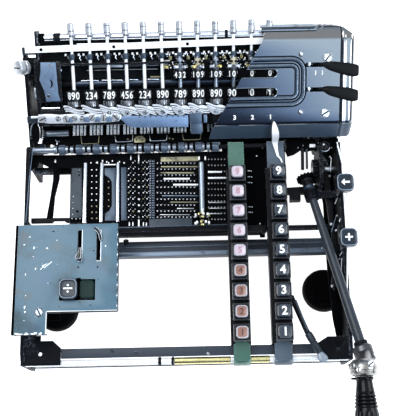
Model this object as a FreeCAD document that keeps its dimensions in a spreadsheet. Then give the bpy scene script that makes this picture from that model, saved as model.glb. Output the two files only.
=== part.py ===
import FreeCAD, Part
import math
import os
import sys
from FreeCAD import Placement, Rotation, Vector

# Keyboard pinwheel calculator, frame open at the left half.
# X to the right, Y to the back, Z up, millimetres.  The plan origin is the
# centre of the overall box, the height origin is the surface under the feet.

doc = FreeCAD.newDocument("pinwheel_calculator")
sheet = doc.addObject("Spreadsheet::Sheet", "Sheet")

# ---------------------------------------------------------------- dimensions
DIMS = [
    ("plan_shift_x", 11.4815), ("plan_shift_y", 19.6365),
    # side frames
    ("side_left", -178.0), ("side_right", 146.0), ("side_plate", 4.0),
    ("frame_foot_z", 14.0), ("frame_front_y", -150.0), ("frame_rear_y", 161.5),
    ("tab_thick", 3.0), ("gusset_thick", 2.0), ("gusset_z", 66.0),
    ("case_hole_r", 1.8),
    ("foot_r", 22.8), ("foot_height", 14.0),
    # front bars
    ("front_rod_r", 3.0), ("sleeve_r", 3.4), ("bar_thick", 2.5), ("bar_depth", 9.5),
    # cross rails
    ("rail_depth", 16.0), ("rail_height", 12.0), ("thin_rail", 5.0),
    # keyboard
    ("key_pitch", 19.8), ("key_slope", 4.04), ("key_base", 16.4), ("key_cap", 11.6),
    ("key_skirt", 8.0), ("key_taper", 6.0), ("key_stem_w", 6.0), ("key_stem_t", 1.6),
    ("channel_w", 17.4), ("channel_sheet", 1.5), ("channel_wall", 8.0),
    ("side_key_w", 17.0), ("side_key_d", 18.0), ("side_key_h", 8.0),
    # function panel
    ("panel_z", 98.5), ("panel_sheet", 1.5), ("slot_w", 3.8), ("slot_len", 31.0),
    # setting bed
    ("bed_sheet", 2.0), ("comb_thick", 1.5), ("guide_r", 1.5),
    # registers
    ("dial_pitch", 17.95), ("dial_r", 7.5), ("dial_w", 10.0), ("dial_gear_r", 7.0),
    ("shaft_r", 1.5), ("knob_r", 3.3), ("carriage_tilt", 31.5),
    ("shaft_clear", 0.05), ("carriage_w", 290.0), ("rear_rod_r", 4.6),
    # transfer gears and rotor
    ("gear_pitch", 17.62), ("gear_w", 6.4), ("gear_rod_r", 3.0),
    ("disc_r", 20.0), ("disc_w", 9.0), ("rotor_shaft_r", 4.0),
    ("train_w", 3.5), ("lay_shaft_r", 3.0),
    # crank
    ("crank_shaft_r", 3.9), ("crank_throw", 32.0), ("grip_len", 43.0),
    # cover
    ("cover_sheet", 1.5), ("cover_left", 0.0), ("cover_right", 153.0),
]
P = {}
for i, (alias, value) in enumerate(DIMS, 1):
    sheet.set("A%d" % i, alias)
    sheet.set("B%d" % i, repr(value))
    sheet.setAlias("B%d" % i, alias)
    P[alias] = value
doc.recompute()

SHIFT = Vector(P["plan_shift_x"], P["plan_shift_y"], 0)


# ---------------------------------------------------------------- helpers
def put(obj, prop, value):
    """A number is set as it is; text is an expression on the sheet's cells."""
    if isinstance(value, str):
        obj.setExpression(prop, value.replace("S.", "Sheet."))
    else:
        setattr(obj, prop, value)


def box(name, lx, ly, lz, x=0.0, y=0.0, z=0.0, rot=None):
    o = doc.addObject("Part::Box", name)
    put(o, "Length", lx)
    put(o, "Width", ly)
    put(o, "Height", lz)
    o.Placement = Placement(Vector(x, y, z), rot or Rotation())
    return o


def cyl(name, r, length, at, axis=(0, 0, 1)):
    o = doc.addObject("Part::Cylinder", name)
    put(o, "Radius", r)
    put(o, "Height", length)
    o.Placement = Placement(Vector(*at), Rotation(Vector(0, 0, 1), Vector(*axis)))
    return o


def cone(name, r1, r2, length, at, axis=(0, 0, 1)):
    o = doc.addObject("Part::Cone", name)
    put(o, "Radius1", r1)
    put(o, "Radius2", r2)
    put(o, "Height", length)
    o.Placement = Placement(Vector(*at), Rotation(Vector(0, 0, 1), Vector(*axis)))
    return o


def fuse(name, items, place=None):
    o = doc.addObject("Part::MultiFuse", name)
    o.Shapes = items
    o.Refine = True
    if place:
        o.Placement = place
    return o


def cut(name, base, tool, place=None):
    o = doc.addObject("Part::Cut", name)
    o.Base = base
    if isinstance(tool, (list, tuple)):
        tool = fuse(name + "_tools", list(tool)) if len(tool) > 1 else tool[0]
    o.Tool = tool
    if place:
        o.Placement = place
    return o


def group(name, items, place=None):
    o = doc.addObject("Part::Compound", name)
    o.Links = items
    if place:
        o.Placement = place
    return o


def plane(body, role):
    for f in body.Origin.OriginFeatures:
        if f.Role == role:
            return f
    raise RuntimeError(role)


def sketch(body, name, role, loops, circles=(), offset=None):
    sk = body.newObject("Sketcher::SketchObject", name)
    sk.AttachmentSupport = [(plane(body, role), "")]
    sk.MapMode = "FlatFace"
    if offset is not None:
        sk.AttachmentOffset = Placement(Vector(0, 0, offset), Rotation())
    for pts in loops:
        n = len(pts)
        for k in range(n):
            a, b = pts[k], pts[(k + 1) % n]
            sk.addGeometry(Part.LineSegment(Vector(a[0], a[1], 0), Vector(b[0], b[1], 0)), False)
    import Sketcher
    for (cx, cy, r) in circles:
        g = sk.addGeometry(Part.Circle(Vector(cx, cy, 0), Vector(0, 0, 1), P[r] if isinstance(r, str) else r), False)
        if isinstance(r, str):
            c = sk.addConstraint(Sketcher.Constraint("Radius", g, P[r]))
            sk.setExpression("Constraints[%d]" % c, "Sheet." + r)
    return sk


def pad(name, role, loops, length, circles=(), place=None, offset=None, both=False):
    b = doc.addObject("PartDesign::Body", name)
    sk = sketch(b, name + "_sketch", role, loops, circles, offset)
    p = b.newObject("PartDesign::Pad", name + "_pad")
    p.Profile = sk
    put(p, "Length", length)
    p.Midplane = both
    b.Tip = p
    if place:
        b.Placement = place
    return b


def turned(name, role, pts, place=None):
    """A turned piece: the profile is (radius, distance along the axis)."""
    b = doc.addObject("PartDesign::Body", name)
    sk = sketch(b, name + "_sketch", role, [pts])
    r = b.newObject("PartDesign::Revolution", name + "_turn")
    r.Profile = sk
    r.ReferenceAxis = (sk, ["V_Axis"])
    r.Angle = 360.0
    b.Tip = r
    if place:
        b.Placement = place
    return b


def tooth_ring(n, r_root, r_tip, phase, half_root, half_tip):
    """Closed outline of a spur gear with straight-sided teeth, degrees."""
    pts = []
    for k in range(n):
        a = phase + 360.0 * k / n
        for rr, da in ((r_root, -half_root), (r_tip, -half_tip), (r_tip, half_tip), (r_root, half_root)):
            t = math.radians(a + da)
            pts.append((rr * math.cos(t), rr * math.sin(t)))
    return pts


NODES = []


def node(obj, label):
    obj.Label = label
    NODES.append(obj)
    return obj


def at(x=0.0, y=0.0, z=0.0, rot=None):
    return Placement(Vector(x, y, z) + SHIFT, rot or Rotation())


# ---------------------------------------------------------------- side frames
# the rear top edge runs under the carriage at the register's slope
def slope_z(y):
    return 97.4 + 0.6128 * (y - 124.83)


frame_outline = [(-150, 14), (-150, 66), (-138, 72), (60, 84), (70, 84), (76, slope_z(76) - 1),
                 (80, slope_z(80)), (160, slope_z(160)), (161.5, 114), (161.5, 14)]
ROTOR = (93.0, 56.5)
LAY = (46.0, 68.3)
GEARS = (68.5, 81.0)

# crank axis: from the bevel pair at the back to the front right corner
OC = Vector(108.2, 46.0, 68.3)
DV = Vector(0.2098, -0.9653, 0.1565)
DV.normalize()


def crank_point(t):
    return OC + DV * t


for side, x0, sgn in (("left", P["side_left"], 1), ("right", P["side_right"] - P["side_plate"], -1)):
    plate = pad(side + "_plate", "YZ_Plane", [frame_outline], "S.side_plate",
                circles=[(ROTOR[0], ROTOR[1], 4.05)] +
                        ([(LAY[0], LAY[1], 3.05)] if side == "right" else []),
                place=Placement(Vector(x0, 0, 0), Rotation()))
    fx = x0 if sgn > 0 else x0 - 24
    fy = -85.0 if side == "left" else -70.0
    tabs = [box(side + "_tab_front", 28, 26, "S.tab_thick", fx, fy - 13, 14),
            box(side + "_tab_rear", 28, 26, "S.tab_thick", fx, 112, 14)]
    if side == "left":
        gus = pad("left_gusset", "XY_Plane",
                  [[(-178, -150), (-139, -150), (-139, -133.5), (-147, -126.2), (-159, -126.2), (-159, -121), (-178, -121)]],
                  "S.gusset_thick", circles=[(-159, -139, "case_hole_r")], place=Placement(Vector(0, 0, 66), Rotation()))
    else:
        gus = pad("right_gusset", "XY_Plane",
                  [[(146, -150), (112.6, -150), (112.6, -133.5), (122.3, -127.4), (146, -127.4)]],
                  "S.gusset_thick", circles=[(132.3, -139, "case_hole_r")], place=Placement(Vector(0, 0, 66), Rotation()))
    parts = [plate, gus] + tabs
    if side == "right":
        # rear bearing of the crank shaft: an arm from the frame with a bored boss
        boss_ring = cut("bearing_ring", cyl("bearing_boss", 7.5, 10, tuple(crank_point(26.0)), tuple(DV)),
                        cyl("bearing_bore", "S.crank_shaft_r+0.05", 14, tuple(crank_point(24.0)), tuple(DV)))
        parts += [box("bearing_arm", 23.5, 6.5, 6.6, 120.0, 13, 69.8), boss_ring]
    fr = fuse(side + "_side", parts)
    fr.Refine = False
    if side == "left":
        # the transfer shaft ends in the left plate
        fr = cut("left_side_drilled", fr, cyl("left_rod_hole", "S.gear_rod_r", 10, (x0 - 3, GEARS[0], GEARS[1]), (1, 0, 0)))
        # open arch below the top rail, beside the setting bed
        fr = cut("left_side_arched", fr, box("left_side_arch", 6, 62, 63, x0 - 1, -6, 12))
    fr.Placement = at()
    node(fr, side + "_side_frame")

# ---------------------------------------------------------------- front
bar = box("front_angle_top", 281, "S.bar_depth", "S.bar_thick", -139, -143.5, 63.5)
bar_web = box("front_angle_web", 281, "S.bar_thick", 20, -139, -143.5, 43.5)
angle = fuse("front_angle", [bar, bar_web])
gap = box("front_gusset_gap_right", 40, 30, 1, 112, -155, 66)
rod = cyl("front_rod", "S.front_rod_r", 316, (-174, -147.5, 62), (1, 0, 0))
sleeve_a0 = cyl("sleeve_a", "S.sleeve_r", 55, (-28, -147.5, 62), (1, 0, 0))
sleeve_b0 = cyl("sleeve_b", "S.sleeve_r", 18.4, (46.8, -147.5, 62), (1, 0, 0))
ring_a = cyl("ring_a", 4.0, 3.0, (-44, -147.5, 62), (1, 0, 0))
ring_b = cyl("ring_b", 4.0, 2.5, (-31, -147.5, 62), (1, 0, 0))
rodset = fuse("front_rod_set", [rod, sleeve_a0, sleeve_b0, ring_a, ring_b])
# the angle's top edge is cleared for the rod that lies along it
angle_cut = cut("front_angle_cleared", angle, cyl("rod_relief", 4.1, 330, (-178, -147.5, 62), (1, 0, 0)))
node(group("front_bars", [angle_cut, rodset], at()), "front_bars")

# ---------------------------------------------------------------- cross rails
LOC = Placement(Vector(0, 114.9, 113.6), Rotation(Vector(1, 0, 0), P["carriage_tilt"]))
rails = [
    box("middle_rail", 316, "S.rail_depth", "S.rail_height", -174, -39, 38),
    box("thin_rail", 316, "S.thin_rail", "S.thin_rail", -174, -14.5, 48.5),
    box("rear_rail", 316, 3, 60, -174, 158, 40),
]
# the two ways that carry the carriage's shoes, at the register's slope
for name, y, w, length in (("way_front", -30, 7, 324), ("way_rear", 40, 8, 320.8)):
    way = box(name, length, w, 3.3)
    way.Placement = LOC.multiply(Placement(Vector(-178, y, -19.0), Rotation()))
    rails.append(way)
node(group("cross_rails", rails, at()), "cross_rails")

# ---------------------------------------------------------------- feet
feet = []
for k, (fx, fy) in enumerate(((-155, -85), (131, -70), (-155, 125), (131, 125))):
    feet.append(turned("foot_%d" % (k + 1), "XZ_Plane",
                       [(0, 0), (20.5, 0), (P["foot_r"], 2.5), (P["foot_r"], 9), (18.5, P["foot_height"]), (0, P["foot_height"])],
                       Placement(Vector(fx, fy, 0), Rotation())))
node(group("rubber_feet", feet, at()), "rubber_feet")

# ---------------------------------------------------------------- function panel
panel = pad("panel_top", "XY_Plane",
            [[(-178.5, -16.6), (-80.5, -16.6), (-80.5, -103.2), (-147.9, -103.2), (-147.9, -124.6), (-178.5, -124.6)]],
            "S.panel_sheet", place=Placement(Vector(0, 0, P["panel_z"]), Rotation()))
flange_l = box("panel_flange", "S.panel_sheet", 106, 28, -179.6, -123, 72)
lug_l = box("panel_flange_foot", 1.2, 106, 28, -178.6 - 0.0, -123, 72)
flange_r = box("panel_flange_right", "S.panel_sheet", 60, 9, -82, -90, 90)
leg = box("panel_leg", 12, "S.panel_sheet", 62, -96, -40, 38)
leg2 = box("panel_leg_foot", 12, 16, 1.5, -96, -40, 50)
post = cyl("panel_post", 3.0, 31.5, (-165, -119.5, 68), (0, 0, 1))
slots = [box("slot_a", "S.slot_w", "S.slot_len", 6, -119.6, -54, 96),
         box("slot_b", "S.slot_w", "S.slot_len", 6, -101.3, -54, 96),
         box("key_hole", 34.4, 20.7, 6, -136.5, -92.6, 96)]
leg = box("panel_leg", "S.panel_sheet", 12, 50, -82, -38, 50)
pan = fuse("panel_sheetwork", [panel, flange_l, post, flange_r, leg])
node(cut("function_panel", pan, slots, at()), "function_panel")

# ---------------------------------------------------------------- key channels
KS = math.radians(P["key_slope"])
KEY_Y0, KEY_Z0 = 33.0, 105.0          # top of the rear key ("9")


def plate_z(y):
    return 84.2 + (y - 46.0) * math.tan(KS)


def channel(name, x_mid, width, wall_side):
    w = width
    zf = plate_z(-140)
    top = [(71, 86.0), (51, 86.0), (45, plate_z(45)), (-140, zf), (-149.5, zf - 0.6), (-152.8, zf - 3.2), (-153.4, 60.0),
           (-151.9, 60.0), (-151.4, zf - 4.0), (-149.0, zf - 2.1), (-140, zf - 1.5), (45, plate_z(45) - 1.5), (51, 84.5), (71, 84.5)]
    web = pad(name + "_web", "YZ_Plane", [top], w, place=Placement(Vector(x_mid - w / 2, 0, 0), Rotation()))
    wall = [(62, 84.9), (51, 84.9), (45, plate_z(45) - 1.3), (-132, plate_z(-132) - 1.3), (-132, plate_z(-132) - 6.0),
            (45, plate_z(45) - P["channel_wall"]), (62, plate_z(45) - P["channel_wall"])]
    walls = []
    for k, xx in enumerate((x_mid - w / 2, x_mid + w / 2 - 1.5)):
        walls.append(pad("%s_wall_%d" % (name, k), "YZ_Plane", [wall], "S.channel_sheet",
                         place=Placement(Vector(xx, 0, 0), Rotation())))
    extra = []
    if name == "black_channel":
        # lug that carries the shift lever's pivot
        extra = [box("lever_lug", 11.5, 11, 4, x_mid + w / 2 - 1.5, -97, 62), box("lever_lug_web", 1.5, 11, 10, x_mid + w / 2 - 1.5, -97, 62)]
    return fuse(name + "_u", [web] + walls + extra)


def key_place(x, k):
    """Key k of a column, 0 at the rear; local z = 0 is the key's top face."""
    y = KEY_Y0 - P["key_pitch"] * k * math.cos(KS)
    z = KEY_Z0 - P["key_pitch"] * k * math.sin(KS)
    return Placement(Vector(x, y, z), Rotation(Vector(1, 0, 0), P["key_slope"]))


COLUMNS = (("green", 38.0, 38.0, 16.4), ("black", 79.0, 77.9, 18.4))
for colour, x_key, x_mid, width in COLUMNS:
    u = channel(colour + "_channel", x_mid, width, 0)
    slots = []
    for k in range(9):
        b = box("%s_stem_slot_%d" % (colour, k), "S.key_stem_w+1", "S.key_stem_t+1", 12, 0, 0, 0)
        b.Placement = key_place(x_key, k).multiply(Placement(Vector(-3.5, -1.3, -30), Rotation()))
        slots.append(b)
    node(cut(colour + "_key_channel", u, slots, at()), colour + "_key_channel")


def number_key(label, x, k):
    h0 = -(P["key_skirt"] + P["key_taper"])
    skirt = box(label + "_skirt", "S.key_base", "S.key_base", "S.key_skirt",
                -P["key_base"] / 2, -P["key_base"] / 2, h0)
    w = doc.addObject("Part::Wedge", label + "_taper")
    hb, hc = P["key_base"] / 2 - 0.6, P["key_cap"] / 2
    w.Xmin, w.Xmax, w.Zmin, w.Zmax = -hb, hb, -hb, hb
    w.Ymin, w.Ymax = 0, P["key_taper"]
    w.X2min, w.X2max, w.Z2min, w.Z2max = -hc, hc, -hc, hc
    w.setExpression("X2max", "Sheet.key_cap/2")
    w.setExpression("Z2max", "Sheet.key_cap/2")
    w.setExpression("Ymax", "Sheet.key_taper")
    w.Placement = Placement(Vector(0, 0, -P["key_taper"]), Rotation(Vector(1, 0, 0), 90))
    stem = box(label + "_stem", "S.key_stem_w", "S.key_stem_t", 18.5, -3, -0.8, h0 - 18)
    f = fuse(label + "_solid", [skirt, w, stem])
    dish = doc.addObject("Part::Sphere", label + "_dish")
    dish.Radius = 26
    dish.Placement = Placement(Vector(0, 0, 25.2), Rotation())
    pl = key_place(x, k)
    pl.Base = pl.Base + SHIFT
    return node(cut(label, f, dish, pl), label)


for colour, x_key, x_mid, width in COLUMNS:
    for k in range(9):
        number_key("%s_key_%d" % (colour, 9 - k), x_key, k)

# ---------------------------------------------------------------- function keys
for label, x, y in (("arrow_key", 144.6, 19.5), ("plus_key", 143.9, -36.7)):
    head = box(label + "_head", "S.side_key_w", "S.side_key_d", "S.side_key_h",
               x - P["side_key_w"] / 2, y - P["side_key_d"] / 2, 97)
    stem = box(label + "_stem", 1.6, 8, 15, 138.5, y - 7.5, 82.5)
    fl = doc.addObject("Part::Fillet", label + "_rounded")
    doc.recompute()
    fl.Base = head
    fl.Edges = [(n + 1, 3.0, 3.0) for n, e in enumerate(head.Shape.Edges)
                if abs(e.BoundBox.ZLength - P["side_key_h"]) < 1e-6]
    node(fuse(label, [fl, stem], at()), label)

divide = box("divide_head", 17.2, 19.3, 6.8, -135.7, -91.8, 101.2)
divide_stem = box("divide_stem", 12, 14, 8, -133, -89, 93.5)
node(fuse("divide_key", [divide, divide_stem], at()), "divide_key")
blank = box("blank_head", 13.6, 17.6, 4.0, -116.8, -90.9, 98.2)
blank_stem = box("blank_stem", 9, 12, 6, -114.5, -88, 92.5)
node(fuse("blank_key", [blank, blank_stem], at()), "blank_key")

for label, x, y in (("left_selector_lever", -117.7, -48.5), ("right_selector_lever", -99.4, -26.5)):
    blade = box(label + "_blade", 2.8, 4.6, 16, x - 1.4, y - 2.3, 90)
    tip = box(label + "_tip", 3.4, 6.4, 4.5, x - 1.7, y - 3.2, 103)
    foot_ = box(label + "_foot", 9, 9, 1.6, x - 4.5, y - 4.5, 90)
    node(fuse(label, [blade, tip, foot_], at()), label)

# ---------------------------------------------------------------- setting bed
bed_parts = [
    box("bed_floor", 223, 70, "S.bed_sheet", -133, -10, 56),
    box("bed_front", 170, 7, 14, -108, -20, 54),
    box("bed_left_plate", 12, 58, 2, -133, -9, 73),
    box("bed_left_web", 2, 58, 16, -133, -9, 57.5),
    box("bed_comb_plate_a", 10, 60, 2, -97.5, -10, 73),
    box("bed_comb_web_a", 2, 60, 16, -97.5, -10, 57.5),
    box("bed_comb_plate_b", 6, 58, 2, -80.6, -9, 73),
    box("bed_comb_web_b", 2, 58, 16, -80.6, -9, 57.5),
    box("bed_rack_plate", 5, 58, 2, -52, -6, 73),
    box("bed_rack_web", 2, 58, 16, -50.5, -6, 57.5),
    box("bed_apron", 44, 8.6, 2, -52, -14, 71.6),
    box("bed_apron_web", 44, 2, 14, -52, -10, 57.5),
    box("bed_strip", 38, 5, 2, -40, 55, 75),
    box("bed_strip_web", 38, 2, 18, -40, 56, 57.5),
    box("bed_end_web", 2, 82, 14, 88, -8, 56),
    box("shaft_post", 2, 9, 16, 88, 64, 69.5),
    box("bed_bar", 18, 6, 6, 90, 20, 62),
    box("bed_bar_block", 11, 7, 6, 93, 13, 62),
    box("bed_mount_left", 43, 8, 2, -174, 50, 56),
    box("bed_mount_front_right", 80, 4, 6, 62, -16.5, 57),
]
comb = []
for k in range(12):
    xx = -44 + 6.4 * k
    comb.append(box("comb_%d" % k, "S.comb_thick", 62, 10, xx, -7, 57.5))
for k in range(3):
    comb.append(box("comb_l_%d" % k, "S.comb_thick", 60, 10, -114 + 5.5 * k, -8, 57.5))
for k in range(4):
    comb.append(box("comb_m_%d" % k, "S.comb_thick", 60, 10, -73 + 5.2 * k, -8, 57.5))
node(cut("setting_bed", fuse("bed_weld", bed_parts + comb), cyl("post_hole", "S.gear_rod_r", 8, (85, GEARS[0], GEARS[1]), (1, 0, 0)), at()),
     "setting_bed")

# ---------------------------------------------------------------- fixed rods
rods = [cyl("guide_rod_%d" % k, "S.guide_r", 66, (x, -10, 78), (0, 1, 0)) for k, x in enumerate((-118.3, -101.3, -84.3))]
rods += [box("guide_post_%d" % k, 4, 3, 20, x - 2, y, 58) for k, (x, y) in enumerate(
    ((-118.3, -13), (-101.3, -13), (-84.3, -13), (-118.3, 56), (-101.3, 56), (-84.3, 56)))]
steel_rod = cyl("slide_rod", 2.5, 62, (2.0, -8, 80), (0, 1, 0))
steel_posts = [box("slide_post_a", 5, 3, 24, -0.5, -10.5, 58), box("slide_post_b", 5, 2.4, 24, -0.5, 55.2, 58)]
transfer = cyl("transfer_shaft", "S.gear_rod_r", 268, (-178, GEARS[0], GEARS[1]), (1, 0, 0))
short_rod = cyl("front_short_rod", 2.3, 30, (-174, 83.5, 84.5), (1, 0, 0))
node(group("fixed_rods", [fuse("guide_set", rods), fuse("slide_set", [steel_rod] + steel_posts), transfer], at()),
     "fixed_rods")

# ---------------------------------------------------------------- pointer
prof = [(52.5, 86.05), (62, 86.05), (70.4, 88.0), (71.4, 99.0), (74.0, 104.6), (79.0, 108.8), (86.6, 113.0),
        (86.0, 114.1), (78.2, 109.8), (72.9, 105.3), (70.2, 99.4), (69.2, 88.9), (61.6, 87.25), (52.5, 87.25)]
pt = pad("pointer_strip", "YZ_Plane", [prof], 7.0)
c = Placement(Vector(74.4 + 3.5 * 0, 84, 0), Rotation(Vector(0, 0, 1), 18))
pt.Placement = Placement(Vector(74.4, 84, 0), Rotation(Vector(0, 0, 1), 18)).multiply(
    Placement(Vector(-3.5, -84, 0), Rotation()))
node(group("position_pointer", [pt], at()), "position_pointer")

# ---------------------------------------------------------------- transfer gears
b = doc.addObject("PartDesign::Body", "transfer_body")
sk = sketch(b, "sleeve_sketch", "YZ_Plane", [], [(0, 0, 4.1), (0, 0, 3.05)])
p = b.newObject("PartDesign::Pad", "sleeve_pad")
p.Profile = sk
put(p, "Length", "9*S.gear_pitch+S.gear_w")
sk2 = sketch(b, "teeth_sketch", "YZ_Plane", [tooth_ring(12, 3.9, 5.1, 15.0, 10.0, 5.5)], [(0, 0, 3.05)])
p2 = b.newObject("PartDesign::Pad", "teeth_pad")
p2.Profile = sk2
put(p2, "Length", "S.gear_w")
doc.recompute()
lp = b.newObject("PartDesign::LinearPattern", "teeth_pattern")
lp.Originals = [p2]
lp.Direction = (plane(b, "X_Axis"), [""])
put(lp, "Length", "9*S.gear_pitch")
lp.Occurrences = 10
b.Tip = lp
b.Placement = Placement(Vector(-141.2, GEARS[0], GEARS[1]) + SHIFT, Rotation())
node(b, "transfer_gears")

# ---------------------------------------------------------------- pinwheel rotor
b = doc.addObject("PartDesign::Body", "rotor_body")
sk = sketch(b, "rotor_shaft_sketch", "YZ_Plane", [], [(0, 0, "rotor_shaft_r")], offset=-178.0)
p = b.newObject("PartDesign::Pad", "rotor_shaft_pad")
p.Profile = sk
p.Length = 324.0
sk2 = sketch(b, "disc_sketch", "YZ_Plane", [], [(0, 0, "disc_r")], offset=-142.5)
p2 = b.newObject("PartDesign::Pad", "disc_pad")
p2.Profile = sk2
put(p2, "Length", "S.disc_w")
doc.recompute()
lp = b.newObject("PartDesign::LinearPattern", "disc_pattern")
lp.Originals = [p2]
lp.Direction = (plane(b, "X_Axis"), [""])
put(lp, "Length", "9*S.gear_pitch")
lp.Occurrences = 10
b.Tip = lp
sk3 = sketch(b, "drum_sketch", "YZ_Plane", [], [(0, 0, 14.0)], offset=-142.5)
p3 = b.newObject("PartDesign::Pad", "drum_pad")
p3.Profile = sk3
put(p3, "Length", "9*S.gear_pitch+S.disc_w")
ang = math.degrees(math.atan2(LAY[1] - ROTOR[1], LAY[0] - ROTOR[0]))
sk4 = sketch(b, "rotor_gear_sketch", "YZ_Plane", [tooth_ring(24, 22.4, 25.2, ang, 4.6, 2.2)], offset=122.5)
p4 = b.newObject("PartDesign::Pad", "rotor_gear_pad")
p4.Profile = sk4
put(p4, "Length", "S.train_w")
sk5 = sketch(b, "end_gear_sketch", "YZ_Plane", [tooth_ring(20, 16.5, 18.5, 0, 5.0, 2.6)], offset=-168.0)
p5 = b.newObject("PartDesign::Pad", "end_gear_pad")
p5.Profile = sk5
p5.Length = 6.0
b.Tip = p5
b.Placement = Placement(Vector(0, ROTOR[0], ROTOR[1]) + SHIFT, Rotation())
node(b, "pinwheel_rotor")

# ---------------------------------------------------------------- lay gear
b = doc.addObject("PartDesign::Body", "lay_body")
sk = sketch(b, "lay_gear_sketch", "YZ_Plane", [tooth_ring(24, 22.4, 25.2, ang + 180.0 + 7.5, 4.6, 2.2)], offset=122.5)
p = b.newObject("PartDesign::Pad", "lay_gear_pad")
p.Profile = sk
put(p, "Length", "S.train_w")
sk2 = sketch(b, "lay_shaft_sketch", "YZ_Plane", [], [(0, 0, "lay_shaft_r")], offset=120.0)
p2 = b.newObject("PartDesign::Pad", "lay_shaft_pad")
p2.Profile = sk2
p2.Length = 26.0
b.Tip = p2
b.Placement = Placement(Vector(0, LAY[0], LAY[1]), Rotation())
bevel = cone("lay_bevel", 6.6, 10.0, 5.0, (117.5, LAY[0], LAY[1]), (1, 0, 0))
node(fuse("drive_gear", [b, bevel], at()), "drive_gear")

# ---------------------------------------------------------------- crank
UP = Vector(0, 0, 1) - DV * DV.z
UP.normalize()
XL = UP.cross(DV)
CROT = Rotation(XL, UP, DV, "ZYX")
CPL = Placement(OC, CROT)
# turned shaft: bevel pinion, journal, plain shaft, collar and hub
rs = P["crank_shaft_r"]
shaft = turned("crank_turned", "XZ_Plane",
               [(0, 8.6), (6.2, 8.6), (10.2, 13.6), (9.0, 16.0), (5.4, 16.0), (5.4, 18.0), (rs, 18.0),
                (rs, 120), (4.5, 150), (4.7, 190), (6.6, 190), (6.6, 194.5), (9.4, 196.0), (9.4, 209.0), (0, 209.0)], CPL)
BOSS = Vector(142.6, -164.0, 131.0)
hub_c = OC + DV * 203.0
# crank arm between the hub and the grip's boss
link_vec = BOSS - hub_c
link_len = link_vec.Length
lx = Vector(0, -1, 0)
lz = Vector(link_vec)
lz.normalize()
ly = lz.cross(DV)
ly.normalize()
lxx = ly.cross(lz)
arm = box("crank_link", 13, 15, link_len - 2, 0, 0, 0)
arm.Placement = Placement(hub_c, Rotation(lxx, ly, lz, "ZYX")).multiply(Placement(Vector(-5.0, -7.5, 1), Rotation()))
boss = cyl("crank_boss", 12.6, 15.0, (BOSS.x, -157.0, BOSS.z), (0, -1, 0))
node(fuse("crank", [shaft, arm, boss], at()), "crank")
grip = turned("crank_grip_turned", "XZ_Plane",
              [(0, 0.5), (8.4, 0.5), (8.4, 3.0), (6.6, 3.4), (6.8, 9), (8.0, 18), (9.6, 28), (10.8, 36), (10.4, 41), (7.5, 45), (0, 45.5)],
              Placement(Vector(BOSS.x, -172.0, BOSS.z) + SHIFT, Rotation(Vector(0, 0, 1), Vector(0, -1, 0))))
node(grip, "crank_grip")

# ---------------------------------------------------------------- shift lever
A = Vector(91.6, -91.0, 74.0)
B = Vector(99.6, -127.2, 74.6)
C = Vector(115.8, -155.0, 75.2)
d1 = B - A
d2 = C - B
lev1 = cyl("shift_rod", 2.2, d1.Length, tuple(A), tuple(d1))
lev2 = cyl("shift_sleeve", 3.1, d2.Length - 6, tuple(B - d2.normalize() * 2), tuple(d2))
d2 = C - B
d2.normalize()
tip = box("shift_tip", 8, 9, 3.0, 0, 0, 0)
tip.Placement = Placement(C, Rotation(Vector(0, 0, 1), math.degrees(math.atan2(-d2.x, d2.y)) + 180)).multiply(
    Placement(Vector(-4, -1.0, -1.6), Rotation()))
pivot = cyl("shift_pivot", 3.6, 11, (A.x + 1.0, A.y - 0.5, 66.2), (0, 0, 1))
node(fuse("shift_lever", [lev1, lev2, tip, pivot], at()), "shift_lever")

# ---------------------------------------------------------------- carriage
# local frame: x across, y along the dial shafts (up and back), z out of the face
CT = Placement(Vector(0, 114.9, 113.6) + SHIFT, Rotation(Vector(1, 0, 0), P["carriage_tilt"]))
X0 = -124.8
DIAL_X = [X0 + P["dial_pitch"] * i for i in range(12)]


def row_holes(name, y0, length, r="S.shaft_r+S.shaft_clear"):
    return [cyl("%s_%d" % (name, i), r, length, (x, y0, 0), (0, 1, 0)) for i, x in enumerate(DIAL_X)]


back = box("carriage_back", "S.carriage_w", 76, 2, -158.5, -26, -14)
front_web = box("carriage_front_web", "S.carriage_w", 2, 17.8, -158.5, -30, -14)
front_top = box("carriage_front_top", "S.carriage_w", 15.5, 2, -158.5, -30, 3.8)
bearing = box("carriage_bearing", "S.carriage_w", 2, 16.5, -158.5, -14.5, -12.5)
mid = box("carriage_mid", "S.carriage_w", 2, 15.5, -158.5, 30, -12.5)
tube = cyl("carriage_tube", 3.6, "S.carriage_w", (-158.5, 10.5, -8.2), (1, 0, 0))
left_end = pad("carriage_left_end", "YZ_Plane",
               [[(-30, -14), (64, -14), (64, -3.5), (36, -3.5), (36, 6), (-30, 5.8)]], 3.5,
               place=Placement(Vector(-162, 0, 0), Rotation()))
right_end = pad("carriage_right_end", "YZ_Plane",
                [[(-30, -14), (56, -14), (56, -3.5), (36, -3.5), (36, 6), (-30, 5.8)]], 2.5,
                place=Placement(Vector(131.5, 0, 0), Rotation()))
face = box("carriage_face", 26, 40, 2, -162, -5.5, 6)
knob_arm = box("carriage_knob_arm", 14, 18, 4, -176, 20, -10)
shoe_f = box("carriage_shoe_front", "S.carriage_w", 5, 1.5, -158.5, -29, -15.5)
shoe_r = box("carriage_shoe_rear", "S.carriage_w", 8, 1.5, -158.5, 40, -15.5)
lever_rod = cyl("clear_lever_rod", 2.0, 54, (112, -12, -2), (0, 1, 0))
cf = fuse("carriage_weld", [back, front_web, front_top, bearing, mid, tube, left_end, right_end, face, knob_arm,
                            shoe_f, shoe_r, lever_rod])
node(cut("carriage_frame", cf, row_holes("front_hole", -15, 4) + row_holes("mid_hole", 29, 4), CT), "carriage_frame")

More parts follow.
